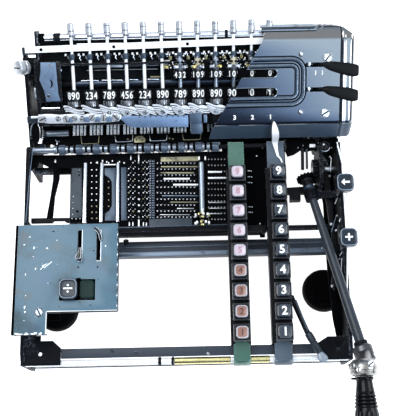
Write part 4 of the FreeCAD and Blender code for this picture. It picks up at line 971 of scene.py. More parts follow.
# stops and marks below the knob bar
rs = random.Random(3)
for i in range(12):
    x = DIAL_X[i]
    if x > 60:
        continue
    bbox(p, "dark", (x - 3.6, 38.6, -3.6), (x + 3.6, 40.2, 1.4), 0.3)
    for dx in (-6.6, 6.6):
        bbox(p, "ivory", (x + dx - 0.9, 39.2, -3.0), (x + dx + 0.9, 41.4, -0.6 + rs.random()), 0.25)
    sweep(p, "steel", [(x - 5.2, 36.4, -2.2), (x - 4.4, 38.8, -1.4), (x - 3.4, 36.2, -1.0), (x - 2.8, 33.8, -1.9)], 0.45, 8)
    sweep(p, "steel", [(x + 8.2, 39.4, -1.2), (x + 7.2, 36.8, -0.6), (x + 8.6, 34.4, -1.6)], 0.45, 8)
# rail strips across the black interior
bbox(p, "stud", (-105.5, 26.6, -6.0), (-75.0, 29.4, -3.4), 0.3)
bbox(p, "band", (-75.0, 27.4, -6.6), (-37.5, 28.4, -5.0), 0.3)
bbox(p, "stud", (-112.0, 23.8, -7.2), (-40.0, 24.4, -6.0), 0.2)
bbox(p, "steel", (-148.5, 24.0, -3.0), (-136.5, 26.4, -1.0), 0.3)
bbox(p, "ivory", (-34.5, 28.0, -4.4), (-27.0, 33.0, -2.6), 0.3)
for a, b in ((-118.0, -100.0), (-96.5, -76.0), (-72.5, -60.0), (-54.0, -39.0)):
    bbox(p, "chrome", (a, 13.4, -4.4), (b, 14.4, -3.6), 0.2)
bbox(p, "khaki", (-47.5, 15.8, -3.4), (-35.0, 17.2, -2.4), 0.2)
# counter transfer gears and springs at the right
for k in range(11):
    x = -30.0 + 8.9 * k
    if x > 68:
        break
    gear(p, "steel" if k % 3 else "brass", 12, 2.6, 3.5, 0, 2.6, 0, frame_to((x, 25.2, 1.6), (0, 1, 0)))
    rod(p, "brass" if k % 3 == 1 else "steel", (x, 29.0, -1.0), (x, 29.8, -1.0), 1.6, 14)
    lathe(p, "steel" if k % 2 else "brass", [(0, 0), (1.5, 0), (1.7, 0.3), (1.7, 3.4), (0.9, 3.8), (0, 3.8)], frame_to((x + 3.6, 33.6, 1.0), (0, 1, 0.2)), 16)
    bbox(p, "ivory" if k % 2 else "steel", (x - 1.0, 38.2, 0.6), (x + 1.4, 39.8, 2.4), 0.25)
rs = random.Random(21)
for k in range(150):
    x, y = rs.uniform(-36, 66), rs.uniform(24.6, 41.2)
    dx_ = (x - DIAL_X[0] + 8.975) % 17.95 - 8.975
    if abs(dx_) < 3.3:
        continue
    m_ = rs.choice(("ivory", "ivory", "steel", "stud", "cream", "darkgear", "collar", "void"))
    a_, b_ = rs.uniform(0.3, 0.7), rs.uniform(0.3, 0.8)
    bbox(p, m_, (x - a_, y - b_, 4.4), (x + a_, y + b_, 5.6 + rs.random() * 0.6), 0.15)
# black sheet under the small parts: painted shade
bbox(p, "void", (-38.0, 24.4, -5.6), (68.0, 41.4, -4.2), 0.2)
# detent pawls in front of each dial gear
for i in range(12):
    x = DIAL_X[i]
    if x > 12:
        break
    for dx in (-7.9, 8.6):
        bbox(p, "steel", (x + dx - 0.5, -12.2, 1.0), (x + dx + 0.5, -6.2, 3.4), 0.15)
rod(p, "chrome", (-158.0, -12.0, 4.4), (-139.0, -12.0, 4.4), 1.1)
# black guards between the dials
for i in range(-1, 12):
    x = DIAL_X[0] + 17.95 * i
    bbox(p, "void", (x + 6.55, -15.0, 4.2), (x + 11.4, 5.2, 5.3), 0.25)
    if i >= 5:
        bbox(p, "void", (x + 6.55, 14.8, 4.2), (x + 11.4, 31.0, 5.3), 0.25)
        bbox(p, "void", (x + 8.0, 30.2, 2.6), (x + 10.0, 31.6, 5.0), 0.2)
p.done("carriage", (), CAR)

# dark tube with its polished bands
MAT["tube"] = metal("dark_blue_tube", (0.030, 0.040, 0.060), (0.055, 0.070, 0.100), 0.22, 0.34, bump=0.04, metallic=0.8)
p = Piece("carriage_tube_bands")
for i in range(11):
    x = DIAL_X[i] + 9.0
    lathe(p, "tube", [(3.55, 0), (3.9, 0.3), (3.9, 12.4), (3.55, 12.7)], frame_to((x - 6.4, 10.5, -8.2), (1, 0, 0)), 28, caps=True)
    for e in (-7.2, 6.6):
        lathe(p, "darkgear", [(3.55, 0), (4.5, 0), (4.5, 0.9), (3.55, 0.9)], frame_to((x + e, 10.5, -8.2), (1, 0, 0)), 28, caps=True)
p.done("carriage", (), CAR)

# left-hand knob
p = Piece("carriage_knob_turned")
lathe(p, "knob", [(0, 0), (2.8, 0), (3.0, 0.3), (3.0, 3.4), (6.4, 3.4), (6.9, 3.9), (6.9, 7.4), (6.4, 8.0), (4.4, 8.2), (4.4, 9.6), (6.8, 9.8), (7.2, 10.3), (7.2, 15.0),
                  (6.6, 15.8), (5.6, 16.1), (0, 16.0)], None, 40, flute=(24, 0.22, 10.4, 14.9))
lathe(p, "band", [(6.3, 3.3), (6.98, 3.85), (6.98, 4.3), (6.3, 4.4)], None, 40, caps=True)
lathe(p, "band", [(4.3, 8.1), (4.6, 8.3), (4.6, 9.5), (4.3, 9.7)], None, 40, caps=True)
bbox(p, "void", (-4.4, -0.55, 15.6), (4.4, 0.55, 16.25), 0.0)
KD = Vector((-0.62, 0, 0.785)).normalized()
p.done("carriage_knob", ["carriage_knob"], CAR @ frame_to((-169, 29, -4.0), KD))


# ------------------------------------------------------------------ register cover
def cover_section(d):
    """Section of the cover in the Y-Z plane, set in by d; the front skirt, the sloping face and the rear roll."""
    c, s_ = math.cos(TILT), math.sin(TILT)
    Y = lambda a, h: (114.9 + a * c - h * s_, 113.6 + a * s_ + h * c)
    pts = [(76.0 + d, 84.0), (77.2 + d, 88.8), (78.5 + d, 94.0), (79.8 + d, 99.2)]
    # small radius between skirt and face
    f0, f1 = Vector((80.6 + d, 102.4)), Vector(Y(-29.5, 11.0 - d))
    cor = Vector((81.5 + d, 106.0 - d * 0.9))
    for k in range(1, 7):
        t = k / 7.0
        q = (f0 * (1 - t) + cor * t) * (1 - t) + (cor * (1 - t) + f1 * t) * t
        pts.append((q.x, q.y))
    for k in range(0, 9):
        pts.append(Y(-29.5 + 79.5 * k / 8.0, 11.0 - d))
    for k in range(1, 25):
        a = math.radians(90 - 118.5 * k / 24)
        pts.append(Y(50 + (16 - d) * math.cos(a), -5 + (16 - d) * math.sin(a)))
    last = pts[-1]
    pts.append((last[0], 124.0))
    pts.append((last[0], 116.5))
    return pts


def make_cover():
    XR, RAD, TH = 156.6, 5.0, 1.5
    ridge = {134.0: 0.0, 137.9: 0.0, 141.9: 0.0, 142.3: 0.45, 142.9: 0.45, 143.3: 0.0, 144.3: -0.1, 145.1: -0.55, 146.2: -0.55, 147.2: -0.1, 148.4: 0.0}
    ymax = lambda x: 400.0 if x <= 134.0 else 174.6 - 0.86 * (x - 134.0)
    xs = [-6.0] + [k * 7.25 for k in range(0, 19)] + sorted(ridge) + [150.0]
    xs = sorted(set(x for x in xs if x < XR - RAD - 0.5)) + [XR - RAD]
    ends = [XR - RAD + RAD * math.sin(math.radians(a)) for a in (15, 30, 45, 60, 75, 88)]
    secs = []
    for x in xs + ends:
        d = ridge.get(x, 0.0) if x <= XR - RAD else RAD - math.sqrt(max(RAD * RAD - (x - XR + RAD) ** 2, 0.0))
        secs.append((x, [(min(y, ymax(x)), z) for y, z in cover_section(d)]))
    n = len(secs[0][1])
    bm = bmesh.new()
    outer = [[bm.verts.new((x, y, z)) for (y, z) in sec] for x, sec in secs]
    inner = []
    for x, sec0 in secs:
        d = (0.0 if x <= XR - RAD else RAD - math.sqrt(max(RAD * RAD - (x - XR + RAD) ** 2, 0.0))) + TH
        xi = min(x, XR - TH)
        sec = [(min(y, ymax(x) - TH), z) for y, z in cover_section(max(d, TH))]
        sec[0] = (sec[0][0], 84.0)
        sec[-1] = (sec[-1][0], 116.5)
        inner.append([bm.verts.new((xi if x <= XR - RAD else XR - RAD + (x - XR + RAD) * (RAD - TH) / RAD, y, z)) for (y, z) in sec])
    m = len(secs)
    for i in range(m - 1):
        for k in range(n - 1):
            fc = bm.faces.new([outer[i][k], outer[i + 1][k], outer[i + 1][k + 1], outer[i][k + 1]])
            # the skirt faces take the lighter slate enamel: painted sheen on the cover's front skirt
            fc.material_index = 2 if k < 6 else 0
            bm.faces.new([inner[i][k + 1], inner[i + 1][k + 1], inner[i + 1][k], inner[i][k]])
        for k in (0, n - 1):
            q = [outer[i][k], inner[i][k], inner[i + 1][k], outer[i + 1][k]]
            bm.faces.new(q if k == 0 else list(reversed(q)))
    for k in range(n - 1):
        bm.faces.new([outer[0][k + 1], inner[0][k + 1], inner[0][k], outer[0][k]])
    # right-hand wall, inside and out
    so, si = bm.faces.new(list(outer[-1])), bm.faces.new(list(reversed(inner[-1])))
    bm.faces.new([outer[-1][0], inner[-1][0], inner[-1][n - 1], outer[-1][n - 1]])
    bmesh.ops.triangulate(bm, faces=[f for f in bm.faces if len(f.verts) > 4])
    bmesh.ops.recalc_face_normals(bm, faces=bm.faces)
    me = bpy.data.meshes.new("register_cover_shell")
    bm.to_mesh(me)
    bm.free()
    me.materials.append(MAT["enamel"])
    me.materials.append(MAT["cutedge"])
    me.materials.append(MAT["skirt"])
    o = bpy.data.objects.new("register_cover_shell", me)
    bpy.context.scene.collection.objects.link(o)
    # cutters, drawn in the carriage frame
    cut = Piece("cutters")
    diag = [(-60, -80), (5.2, -80), (7.4, -60), (14.0, -37), (65.0, 50), (66.6, 58), (61.5, 95), (-60, 95)]
    plate(cut, "cutedge", diag, -80, 60)
    for x0, x1, y, w in ((38.0, 79.3, 18.9, 7.6), (28.0, 79.3, 0.0, 8.6), (107.0, 130.0, 26.5, 4.6), (107.0, 130.0, 2.0, 4.6)):
        plate(cut, "enamel", slot2d(x0, x1, y, w), 4, 20)
    plate(cut, "enamel", circle(0, 0, 4.6, 28), 0, 32, M=T(DIAL_X[11], 87, 0) @ R(90, "X"))
    cm = bpy.data.meshes.new("cutters")
    cm.from_pydata(cut.v, [], cut.f)
    for kk in cut.mats:
        cm.materials.append(MAT[kk])
    cm.polygons.foreach_set("material_index", cut.m)
    cm.transform(CAR)
    co = bpy.data.objects.new("cutters", cm)
    bpy.context.scene.collection.objects.link(co)
    for ob_, nm in ((co, "cut"),):
        md = o.modifiers.new(nm, "BOOLEAN")
        md.operation = "DIFFERENCE"
        md.solver = "EXACT"
        md.object = ob_
        md.use_self = True if nm == "cut" else False
        md.material_mode = "TRANSFER"
    dg = bpy.context.evaluated_depsgraph_get()
    dg.update()
    res = bpy.data.meshes.new_from_object(o.evaluated_get(dg))
    bpy.data.objects.remove(o)
    bpy.data.objects.remove(co)
    res.transform(MM)
    finish_mesh(res, 28)
    o = bpy.data.objects.new("register_cover_shell", res)
    bpy.context.scene.collection.objects.link(o)
    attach(o, "carriage")
    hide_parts("register_cover")


MAT["cutedge"] = metal("bright_cut_edge", (0.78, 0.80, 0.84), (0.60, 0.63, 0.68), 0.25, 0.4)
make_cover()

# raised double bead, windows' rims, rivets, screws, figures
p = Piece("register_cover_trim")
EN = "enamel"


def diag_x(s):
    return 14.0 + (65.0 - 14.0) * (s + 37.0) / 87.0


def offset_path(path, d):
    out_ = []
    for i in range(len(path)):
        a, b = path[max(i - 1, 0)], path[min(i + 1, len(path) - 1)]
        tx, ty = b[0] - a[0], b[1] - a[1]
        l = math.hypot(tx, ty)
        out_.append((path[i][0] - ty / l * d, path[i][1] + tx / l * d))
    return out_


def bead(off, r):
    xl_t, xl_b = diag_x(33.0 - off) + 0.6, diag_x(-12.2 + off) + 0.6
    x1, y1, y0, rc = 106.0 - off, 33.0 - off, -12.2 + off, 12.5 - off
    path = [(xl_t, y1), (xl_t + (x1 - rc - xl_t) * 0.5, y1)]
    path += [(x1 - rc + rc * math.sin(math.radians(a)), y1 - rc + rc * math.cos(math.radians(a))) for a in range(0, 91, 10)]
    path += [(x1, (y0 + y1) / 2)]
    path += [(x1 - rc + rc * math.cos(math.radians(a)), y0 + rc - rc * math.sin(math.radians(a))) for a in range(0, 91, 10)]
    path += [(xl_b + (x1 - rc - xl_b) * 0.5, y0), (xl_b, y0)]
    sweep(p, "skirt", [(x, y, 11.0) for x, y in path], r, 14, flat=(r, r * 0.95))
    # the pale strip along the bead's top is a painted highlight; the black strips either side are painted shadow
    sweep(p, "bead", [(x, y, 11.0 + r * 0.88) for x, y in offset_path(path, 0.3 * r)], 0.3, 8, flat=(0.34, 0.16))
    for q in (-1, 1):
        sweep(p, "void", [(x, y, 11.0) for x, y in offset_path(path, q * (r + 0.35))], 0.35, 6, flat=(0.75, 0.12))


bead(0.0, 1.8)
bead(6.6, 1.6)
for x0, x1, y, w in ((38.0, 79.3, 18.9, 7.6), (28.0, 79.3, 0.0, 8.6)):
    pts = slot2d(max(x0, diag_x(y) + 3.2), x1 + 0.5, y, w + 1.0, 10)
    pts = pts[9:] + pts[:9]
    pts = [q for q in pts if q[0] > diag_x(q[1]) + 2.0]
    # rim runs round the right end only, open at the cut
    right = sorted([q for q in slot2d(x0, x1 + 0.5, y, w + 1.0, 12) if q[0] > x1 - w], key=lambda q: math.atan2(q[1] - y, q[0] - (x1 - w / 2)))
    lo_ = [(diag_x(y - w / 2) + 0.8, y - (w + 1.0) / 2)]
    hi_ = [(diag_x(y + w / 2) + 0.8, y + (w + 1.0) / 2)]
    sweep(p, "bead", [(a, b, 11.0) for a, b in lo_ + right + hi_], 0.55, 8)
for u_ in (117.6, 124.4):
    sweep(p, "white", [(u_, 20.8, 11.0), (u_ + 0.3, 18.6, 11.05), (u_ - 0.2, 16.4, 11.0)], 0.35, 6, flat=(0.5, 0.14))
sweep(p, "white", [(70.0, 3.2, 11.0), (72.6, 0.4, 11.05)], 0.3, 6, flat=(0.35, 0.12))
for x, y, r, a in ((129.4, 33.3, 4.2, 52), (128.0, -21.5, 4.2, 30)):
    lathe(p, EN, [(0, 0), (r + 1.1, 0), (r + 0.9, 0.35), (r + 0.2, 0.35)], T(x, y, 11.0), 32)
    screw(p, x, y, 11.1, r, 1.9, a, "nickel")
for x, y in ((103.3, 37.2), (103.2, -20.4)):
    lathe(p, "steel", [(0, 0), (2.0, 0), (1.9, 0.3), (1.3, 0.75), (0.55, 0.8), (0.4, 0.5), (0, 0.5)], T(x, y, 11.0), 24)
    lathe(p, EN, [(2.1, 0), (2.9, 0), (2.7, 0.3), (2.1, 0.35)], T(x, y, 11.0), 24, caps=False)
for x, d in ((36.8, "3"), (54.8, "2"), (73.0, "1")):
    figure(p, d, "white", 6.2, T(x, -24.4, 11.0), depth=0.16, fat=0.22)
# seam of the end cap: a fine groove shown as a dark inlaid line
sec = cover_section(-0.02)
path = [(142.6, y, z) for (y, z) in sec]
inv = CAR.inverted()
# the dark line is painted shade in the groove
sweep(p, "void", [tuple(inv @ Vector(q)) for q in path[4:]], 0.32, 6, flat=(0.32, 0.14))
# raised rib on the rear roll, its ends drawn in; the rib is pale as a painted highlight and the black lines beside it
# are painted shadow
def on_roll(x, a_, r=16.3):
    """Point on the rear roll, a_ degrees behind the vertical."""
    q = math.radians(a_)
    v_ = inv @ Vector((x, 160.14 + r * math.sin(q), 135.46 + r * math.cos(q)))
    return tuple(v_)


RA, RB = 24.0, 46.0
rings = []
for x, a0, a1 in [(63.0, RA, RB)] + [(70.0 + 8.0 * k, RA, RB) for k in range(6)] + [(114.0, RA, RB - 3), (118.0, RA + 2, RB - 10), (121.0, RA + 5, RB - 14)]:
    am = (a0 + a1) / 2
    rings.append([Vector(on_roll(x, a_, r_)) for a_, r_ in ((a0, 15.9), (a0 + 2.5, 16.9), (am, 17.0), (a1 - 2.5, 16.9), (a1, 15.9), (am, 15.5))])
loft(p, "ribtop", rings)
for a_ in (RA - 1.6, RB + 1.4):
    sweep(p, "void", [on_roll(x, a_, 16.05) for x in (63.0, 80.0, 100.0, 116.0)], 0.3, 6, flat=(0.5, 0.14))
for x0_, x1_ in ((117.0, 124.0), (123.0, 128.6)):
    sweep(p, "ribtop", [on_roll(x0_ + (x1_ - x0_) * k / 4, 12 + 8 * k, 16.1) for k in range(5)], 0.5, 8, flat=(0.7, 0.3))
# a pale streak between two black lines along the roll: painted highlight and painted shade
for a_, m_, r_, w_ in ((3.0, "void", 16.0, 0.7), (9.0, "bead", 16.0, 0.9), (14.0, "void", 16.0, 0.6)):
    sweep(p, m_, [on_roll(x, a_, r_) for x in (64.0, 85.0, 105.0, 118.0)], 0.3, 6, flat=(w_, 0.14))
# black masks below the windows leave one figure of each dial in sight
for i in (9, 10, 11):
    for s0, s1 in ((-5.2, 5.2), (14.6, 23.0)):
        bbox(p, "void", (DIAL_X[i] + 3.4, s0, 8.0), (DIAL_X[i] + 14.5, s1, 9.0), 0.15)
p.done("carriage", (), CAR, angle=40)

# clearing levers
for label, y in (("upper_clear_lever", 26.5), ("lower_clear_lever", 2.0)):
    p = Piece(label + "_arm")
    A = T(112, y, -2) @ YAX
    lathe(p, "steel", [(2.06, -2.5), (4.2, -2.5), (4.5, -2.2), (4.5, 2.2), (4.2, 2.5), (2.06, 2.5)], A, 28, caps=False)
    lathe(p, "steel", [(2.06, 2.5), (2.06, -2.5)], A, 28, caps=False)
    rings = []
    # stem from the hub up through the slot, turning into the long handle
    spine = [(114.2, -1.0, 0.0, 1.6, 1.5), (117.6, 4.0, 0.0, 1.6, 1.5), (121.2, 9.0, 0.0, 1.6, 1.5), (123.6, 12.6, 0.0, 1.7, 1.5), (125.6, 15.0, 0.0, 1.8, 1.4),
             (127.6, 16.0, -0.6, 3.0, 1.5), (131.0, 16.1, -1.4, 4.2, 1.8), (137.5, 16.1, -2.7, 5.1, 2.0), (143.5, 16.1, -3.9, 5.8, 2.05), (149.5, 16.1, -5.0, 6.3, 2.05),
             (154.5, 16.1, -5.7, 6.4, 2.0), (158.0, 16.0, -5.9, 5.8, 1.8), (159.6, 16.0, -5.9, 4.6, 1.3)]
    for j, (x, h, dy, wy, wh) in enumerate(spine):
        a = spine[max(j - 1, 0)]
        b = spine[min(j + 1, len(spine) - 1)]
        d = Vector((b[0] - a[0], 0, b[1] - a[1])).normalized()
        nrm = Vector((-d.z, 0, d.x))
        ring = []
        for k in range(16):
            t = 2 * math.pi * k / 16
            e = 0.72
            cy = math.copysign(abs(math.cos(t)) ** e, math.cos(t)) * wy
            ch = math.copysign(abs(math.sin(t)) ** e, math.sin(t)) * wh
            ring.append(Vector((x, y + dy + cy, h)) + nrm * ch)
        rings.append(ring)
    loft(p, "lever", rings, mats=["steel"] + ["lever"] * 11)
    p.done(label, [label], CAR, angle=42)

# position pointer
p = Piece("position_pointer_strip")
prof = [(46.5, 87.2, 1.2), (48.5, 87.0, 1.6), (50.5, 86.8, 1.9), (52.5, 86.6, 2.2), (54.2, 86.5, 2.5), (57.0, 86.6, 2.8), (62.0, 86.9, 3.4), (66.4, 88.0, 5.0), (69.0, 90.6, 6.6),
        (69.6, 96.0, 7.2), (70.4, 101.4, 7.4), (73.0, 105.2, 7.2), (76.2, 107.8, 6.0), (79.0, 109.6, 4.4), (81.4, 111.2, 2.4), (82.4, 111.9, 0.8)]
shift_x = {0: 2.6, 1: 2.4, 2: 2.2, 3: 1.2, 4: 0.2}
rings = []
for j, (y, z, w) in enumerate(prof):
    a = prof[max(j - 1, 0)]
    b = prof[min(j + 1, len(prof) - 1)]
    d = Vector((0, b[0] - a[0], b[1] - a[1])).normalized()
    nrm = Vector((0, -d.z, d.y)) * 0.6
    c = Vector((shift_x.get(j, 0.0), y, z))
    hw = Vector((w / 2, 0, 0))
    e = Vector((min(0.35, w * 0.3), 0, 0))
    rings.append([c - hw + nrm * 0.4, c - hw + e + nrm, c + hw - e + nrm, c + hw + nrm * 0.4, c + hw - nrm * 0.4, c + hw - e - nrm, c - hw + e - nrm, c - hw - nrm * 0.4])
loft(p, "ivory", rings)
p.done("root", ["position_pointer"], T(75.6, 84, 0) @ R(10, "Z") @ T(0, -84, 0), angle=30)


# ------------------------------------------------------------------ works below the carriage
CAM_AT, FOC, TILT_C, ROLL_C = Vector((0.0, -231.2254, 855.8556)), 800.0, math.radians(16.8), math.radians(-1.2)


def at(u, v, z):
    """Point at height z on the line of sight through (u, v) of the 400 x 416 picture."""
    du, dv = u - 200.0, v - 208.0
    a = du * math.cos(ROLL_C) + dv * math.sin(ROLL_C)
    b = -du * math.sin(ROLL_C) + dv * math.cos(ROLL_C)
    ry = math.sin(TILT_C) - b / FOC * math.cos(TILT_C)
    rz = -math.cos(TILT_C) - b / FOC * math.sin(TILT_C)
    t = (z - CAM_AT.z) / rz
    return (CAM_AT.x + a / FOC * t, CAM_AT.y + ry * t)


def pplate(p, mat, px, z0, z1, bevel=0.0, holes=()):
    plate(p, mat, [at(u, v, z1) for u, v in px], z0, z1, [[at(u, v, z1) for u, v in h] for h in holes], bevel=bevel)


def prect(p, mat, u0, v0, u1, v1, z0, z1, bevel=0.15):
    pplate(p, mat, [(u0, v0), (u1, v0), (u1, v1), (u0, v1)], z0, z1, bevel)


def stud(p, mat, u, v, z, r=0.8, h=0.9, seg=8):
    x, y = at(u, v, z + h)
    r = r * 1.18 if mat in ("stud", "khaki") and r < 1.0 else r
    lathe(p, mat, [(0, 0), (r, 0), (r, h * 0.5), (r * 0.6, h), (0, h)], T(x, y, z), seg)


MAT["gear_blue"] = metal("blued_gear", (0.075, 0.100, 0.140), (0.120, 0.155, 0.205), 0.3, 0.45, bump=0.06, grime=0.25, metallic=0.6)

p = Piece("setting_bed_works")
rs = random.Random(11)
# black ground under everything: painted shade deep in the works, drawn as black sheets
pplate(p, "void", [(56.0, 155.2), (227.0, 151.0), (227.0, 228.0), (118.5, 229.5), (118.5, 222.5), (70.0, 222.5), (70.6, 168.5), (56.0, 167.0)], 75.0, 75.4)
pplate(p, "void", [(29.5, 155), (72, 155), (72, 166), (61.5, 166.5), (56, 172), (47, 166), (39, 162), (37, 168), (33.6, 168), (29.5, 172)], 70.0, 72.0, 0.2)
pplate(p, "void", [(53.2, 170), (59.6, 165), (59.0, 178), (54.6, 196), (52.4, 219), (46.2, 219), (50.4, 196), (53.0, 180)], 66.0, 70.0, 0.3)
pplate(p, "dark", [(31, 218.0), (72, 217.6), (72, 222.0), (66.5, 222.2), (64, 220.5), (54, 220.5), (52, 222.6), (31, 223)], 66.0, 70.0, 0.3)
for u, v in ((55.5, 161.0), (62.6, 161.6)):
    prect(p, "steel", u - 0.7, v - 1.5, u + 0.7, v + 1.5, 72, 73.2)
# perforated plate at the left
pplate(p, "grille", [(71.8, 168.2), (81.8, 167.8), (82.2, 217.6), (69.4, 218), (70.4, 190)], 75.4, 77.0, 0.2,
       holes=[[(78.2, 170.6), (79.6, 170.6), (79.6, 172), (78.2, 172)], [(78.4, 174.4), (80.0, 174.4), (80.0, 176), (78.4, 176)], [(76.3, 210.2), (78.6, 210.2), (78.6, 212.4), (76.3, 212.4)]])
for u, v in ((73.3, 196.5), (73.1, 202.7), (72.9, 208.3), (72.7, 214.4), (79.0, 170.2), (72.0, 218.6), (76.0, 218.8), (80.0, 218.6)):
    stud(p, "stud", u, v, 77.0, 0.55, 0.6)
# columns of studs and small marks between the guide bars
for k in range(9):
    v = 169.8 + 6.05 * k
    for u in (91.8, 96.4):
        stud(p, "khaki" if k > 5 else "stud", u + rs.uniform(-0.2, 0.2), v, 75.4, 0.85, 1.0)
        stud(p, "void", u - 1.9, v - 1.6, 75.4, 0.9, 1.3)
for k in range(5):
    stud(p, "khaki", 108.6, 181.4 + 6.2 * k, 75.4, 0.75, 1.0)
for u in (91, 96.5, 97.5):
    prect(p, "stud", u - 0.5, 161.2 + rs.random(), u + 0.5, 163.4, 75.4, 76.6)
for k, (u, w) in enumerate(((102.5, 1.2), (106.8, 1.5), (108.6, 0.8), (112.4, 1.2), (119.4, 0.9), (124.2, 1.4))):
    prect(p, "stud" if k % 2 else "ivory", u - w / 2, 160.0 + k % 3, u + w / 2, 161.6 + k % 3, 75.4, 76.8)
prect(p, "ivory", 101.5, 164.0, 118.0, 165.0, 75.6, 76.8)
# notched plate, narrow plate
pplate(p, "blued", [(104.6, 168.2), (116.0, 167.8), (116.2, 220.6), (104.9, 220.8), (104.9, 213.6), (109.2, 210.6), (111.8, 205.6), (111.8, 181.8), (109.2, 177.8), (104.7, 174.8)], 75.4, 76.9, 0.25)
pplate(p, "blued", [(121.0, 167.4), (126.3, 167.2), (126.6, 220.2), (121.2, 220.4)], 75.4, 76.9, 0.25)
stud(p, "void", 118.9, 213.0, 76.9, 0.9, 0.5)
# slanting stud pairs of the first field
for k in range(10):
    v = 162.6 + 6.05 * k
    for j, u in enumerate((128.8, 133.2, 143.2, 147.0)):
        if k == 0 and j == 0:
            continue
        stud(p, "khaki" if (k + 2 * j) % 5 == 0 else "stud", u + rs.uniform(-0.3, 0.3), v + rs.uniform(-0.3, 0.3), 75.4, 0.86, 1.1)
        stud(p, "stud", u + 1.7, v - 1.7, 75.4, 0.55, 0.7)
        stud(p, "grille", u - 1.6, v + 2.4, 75.4, 0.7, 0.6)
    x, y = at(138.8, v, 77.4)
    lathe(p, "ivory" if k in (4, 6, 7, 8) else "stud", [(0, 0), (0.9, 0.4), (1.15, 1.0), (0.5, 1.9), (0, 2.0)], T(x, y, 75.4), 10)
prect(p, "stud", 138.2, 153.5, 139.4, 161.5, 76.0, 77.4)
prect(p, "stud", 130.4, 155.0, 131.4, 160.0, 76.0, 77.0)
prect(p, "ivory", 138.1, 219.6, 139.5, 227.0, 76.0, 77.6)
for u in (129.5, 133.0, 143.5, 146.5):
    prect(p, "stud", u - 0.6, 221.5 + rs.random(), u + 0.6, 226.0, 75.6, 76.6)
# toothed rack
prect(p, "dark", 149.2, 159.5, 154.8, 218.2, 75.4, 76.4)
k = 160.6
while k < 218:
    prect(p, "gear_blue", 149.6, k, 154.4, k + 1.15, 76.4, 77.6, 0.12)
    k += 2.45
prect(p, "dark", 150.9, 160.0, 152.0, 218.2, 76.4, 77.9, 0.1)
# second field: rows of studs, the bars behind them
for k in range(10):
    v = 163.0 + 6.0 * k
    u = 157.4
    while u < 198:
        bright = 0.9 if k < 8 else 0.75
        dv_ = rs.uniform(-0.25, 0.25)
        stud(p, "stud", u, v + dv_, 75.4, 0.82, 1.1)
        stud(p, "grille", u + 1.5, v + dv_ - 1.1, 75.4, 0.6, 0.8)
        u += 3.7
for v, u0, u1, m, w in ((166.6, 161, 198, "khaki", 0.55), (172.7, 160.6, 194, "khaki", 0.62), (178.6, 163.6, 189.6, "ivory", 0.75), (184.5, 173.2, 198, "ivory", 0.75),
                        (195.6, 162, 198, "gear_blue", 0.45), (202.0, 170, 198.5, "khaki", 0.35), (208.4, 177, 194, "stud", 0.4), (214.6, 160.0, 190.0, "stud", 0.35)):
    prect(p, m, u0, v - w, u1, v + w, 75.4, 77.2, 0.2)
pplate(p, "khaki", [(160.8, 157.2), (198.2, 156.4), (198.2, 160.8), (160.8, 161.6)], 75.4, 77.4, 0.25)
pplate(p, "grille", [(149.0, 219.0), (192.0, 217.8), (192.2, 227.4), (149.2, 228.4)], 75.4, 78.0, 0.35)
# third field, right of the slide rod
for k in range(11):
    v = 159.2 + 6.0 * k
    u = 208.6
    while u < 226.4:
        stud(p, "stud", u, v, 75.4, 0.66, 0.9)
        u += 3.2
for v, u0, u1, m, w in ((171.8, 208, 222, "ivory", 0.7), (177.8, 208, 226.6, "ivory", 0.7), (202.4, 208.6, 226, "stud", 0.3), (208.2, 209, 226, "stud", 0.3), (213.6, 209, 222, "stud", 0.3)):
    prect(p, m, u0, v - w, u1, v + w, 75.4, 77.2, 0.2)
stud(p, "ivory", 208.6, 183.4, 75.4, 0.7, 1.0)
for u in (199, 205.2):
    prect(p, "ivory", u - 0.7, 156.4, u + 0.7, 159.6, 76.0, 78.0)
# glints of the parts below, between the two key columns
# black sheets under them are painted shade
pplate(p, "void", [(226.2, 139.5), (273.5, 138.5), (275.5, 232), (226.2, 230)], 66.0, 67.0, 0.2)
pplate(p, "void", [(221.6, 137), (243, 135), (243, 152), (221.6, 154)], 49.0, 50.0)
pplate(p, "void", [(238, 134.0), (303, 134.0), (303, 141.6), (238, 141.6)], 70.0, 71.0)
for u, v, w in ((249.6, 170.8, 2.2), (249.8, 176.7, 2.6), (249.6, 182.4, 2.6), (250.2, 206.7, 2.4), (250.4, 212.2, 2.6), (266.0, 171.6, 1.5), (266.2, 178.0, 1.5)):
    x0_, y_ = at(u - w, v, 73)
    x1_, _ = at(u + w * 0.2, v, 73)
    lathe(p, "steel", [(0, 0), (0.55, 0), (0.7, 0.2), (0.7, x1_ - x0_), (0, x1_ - x0_)], frame_to((x0_, y_, 72.4), (1, 0, 0)), 10)
    stud(p, "ivory", u + w * 0.75, v, 71.0, 0.75, 1.6)
for u, v in ((260.0, 223.4), (256.8, 155.8), (247.0, 146.2), (262.5, 147.8)):
    stud(p, "ivory", u, v, 71.0, 0.9, 1.4)
pplate(p, "dark", [(243.4, 226.0), (266.0, 225.4), (266.2, 232.4), (263.0, 233.8), (261.0, 231.0), (243.6, 231.4)], 71.0, 74.0, 0.2)
# front bar of the bed: black, pale upper edge
pplate(p, "blued", [(118.0, 227.0), (243.0, 223.4), (243.0, 224.2), (118.0, 228.0)], 75.4, 79.0, 0.3)
pplate(p, "frame", [(118.0, 228.0), (243.0, 224.2), (243.0, 229.2), (118.0, 232.2)], 72.0, 78.6, 0.3)
p.done("root", (), angle=40)

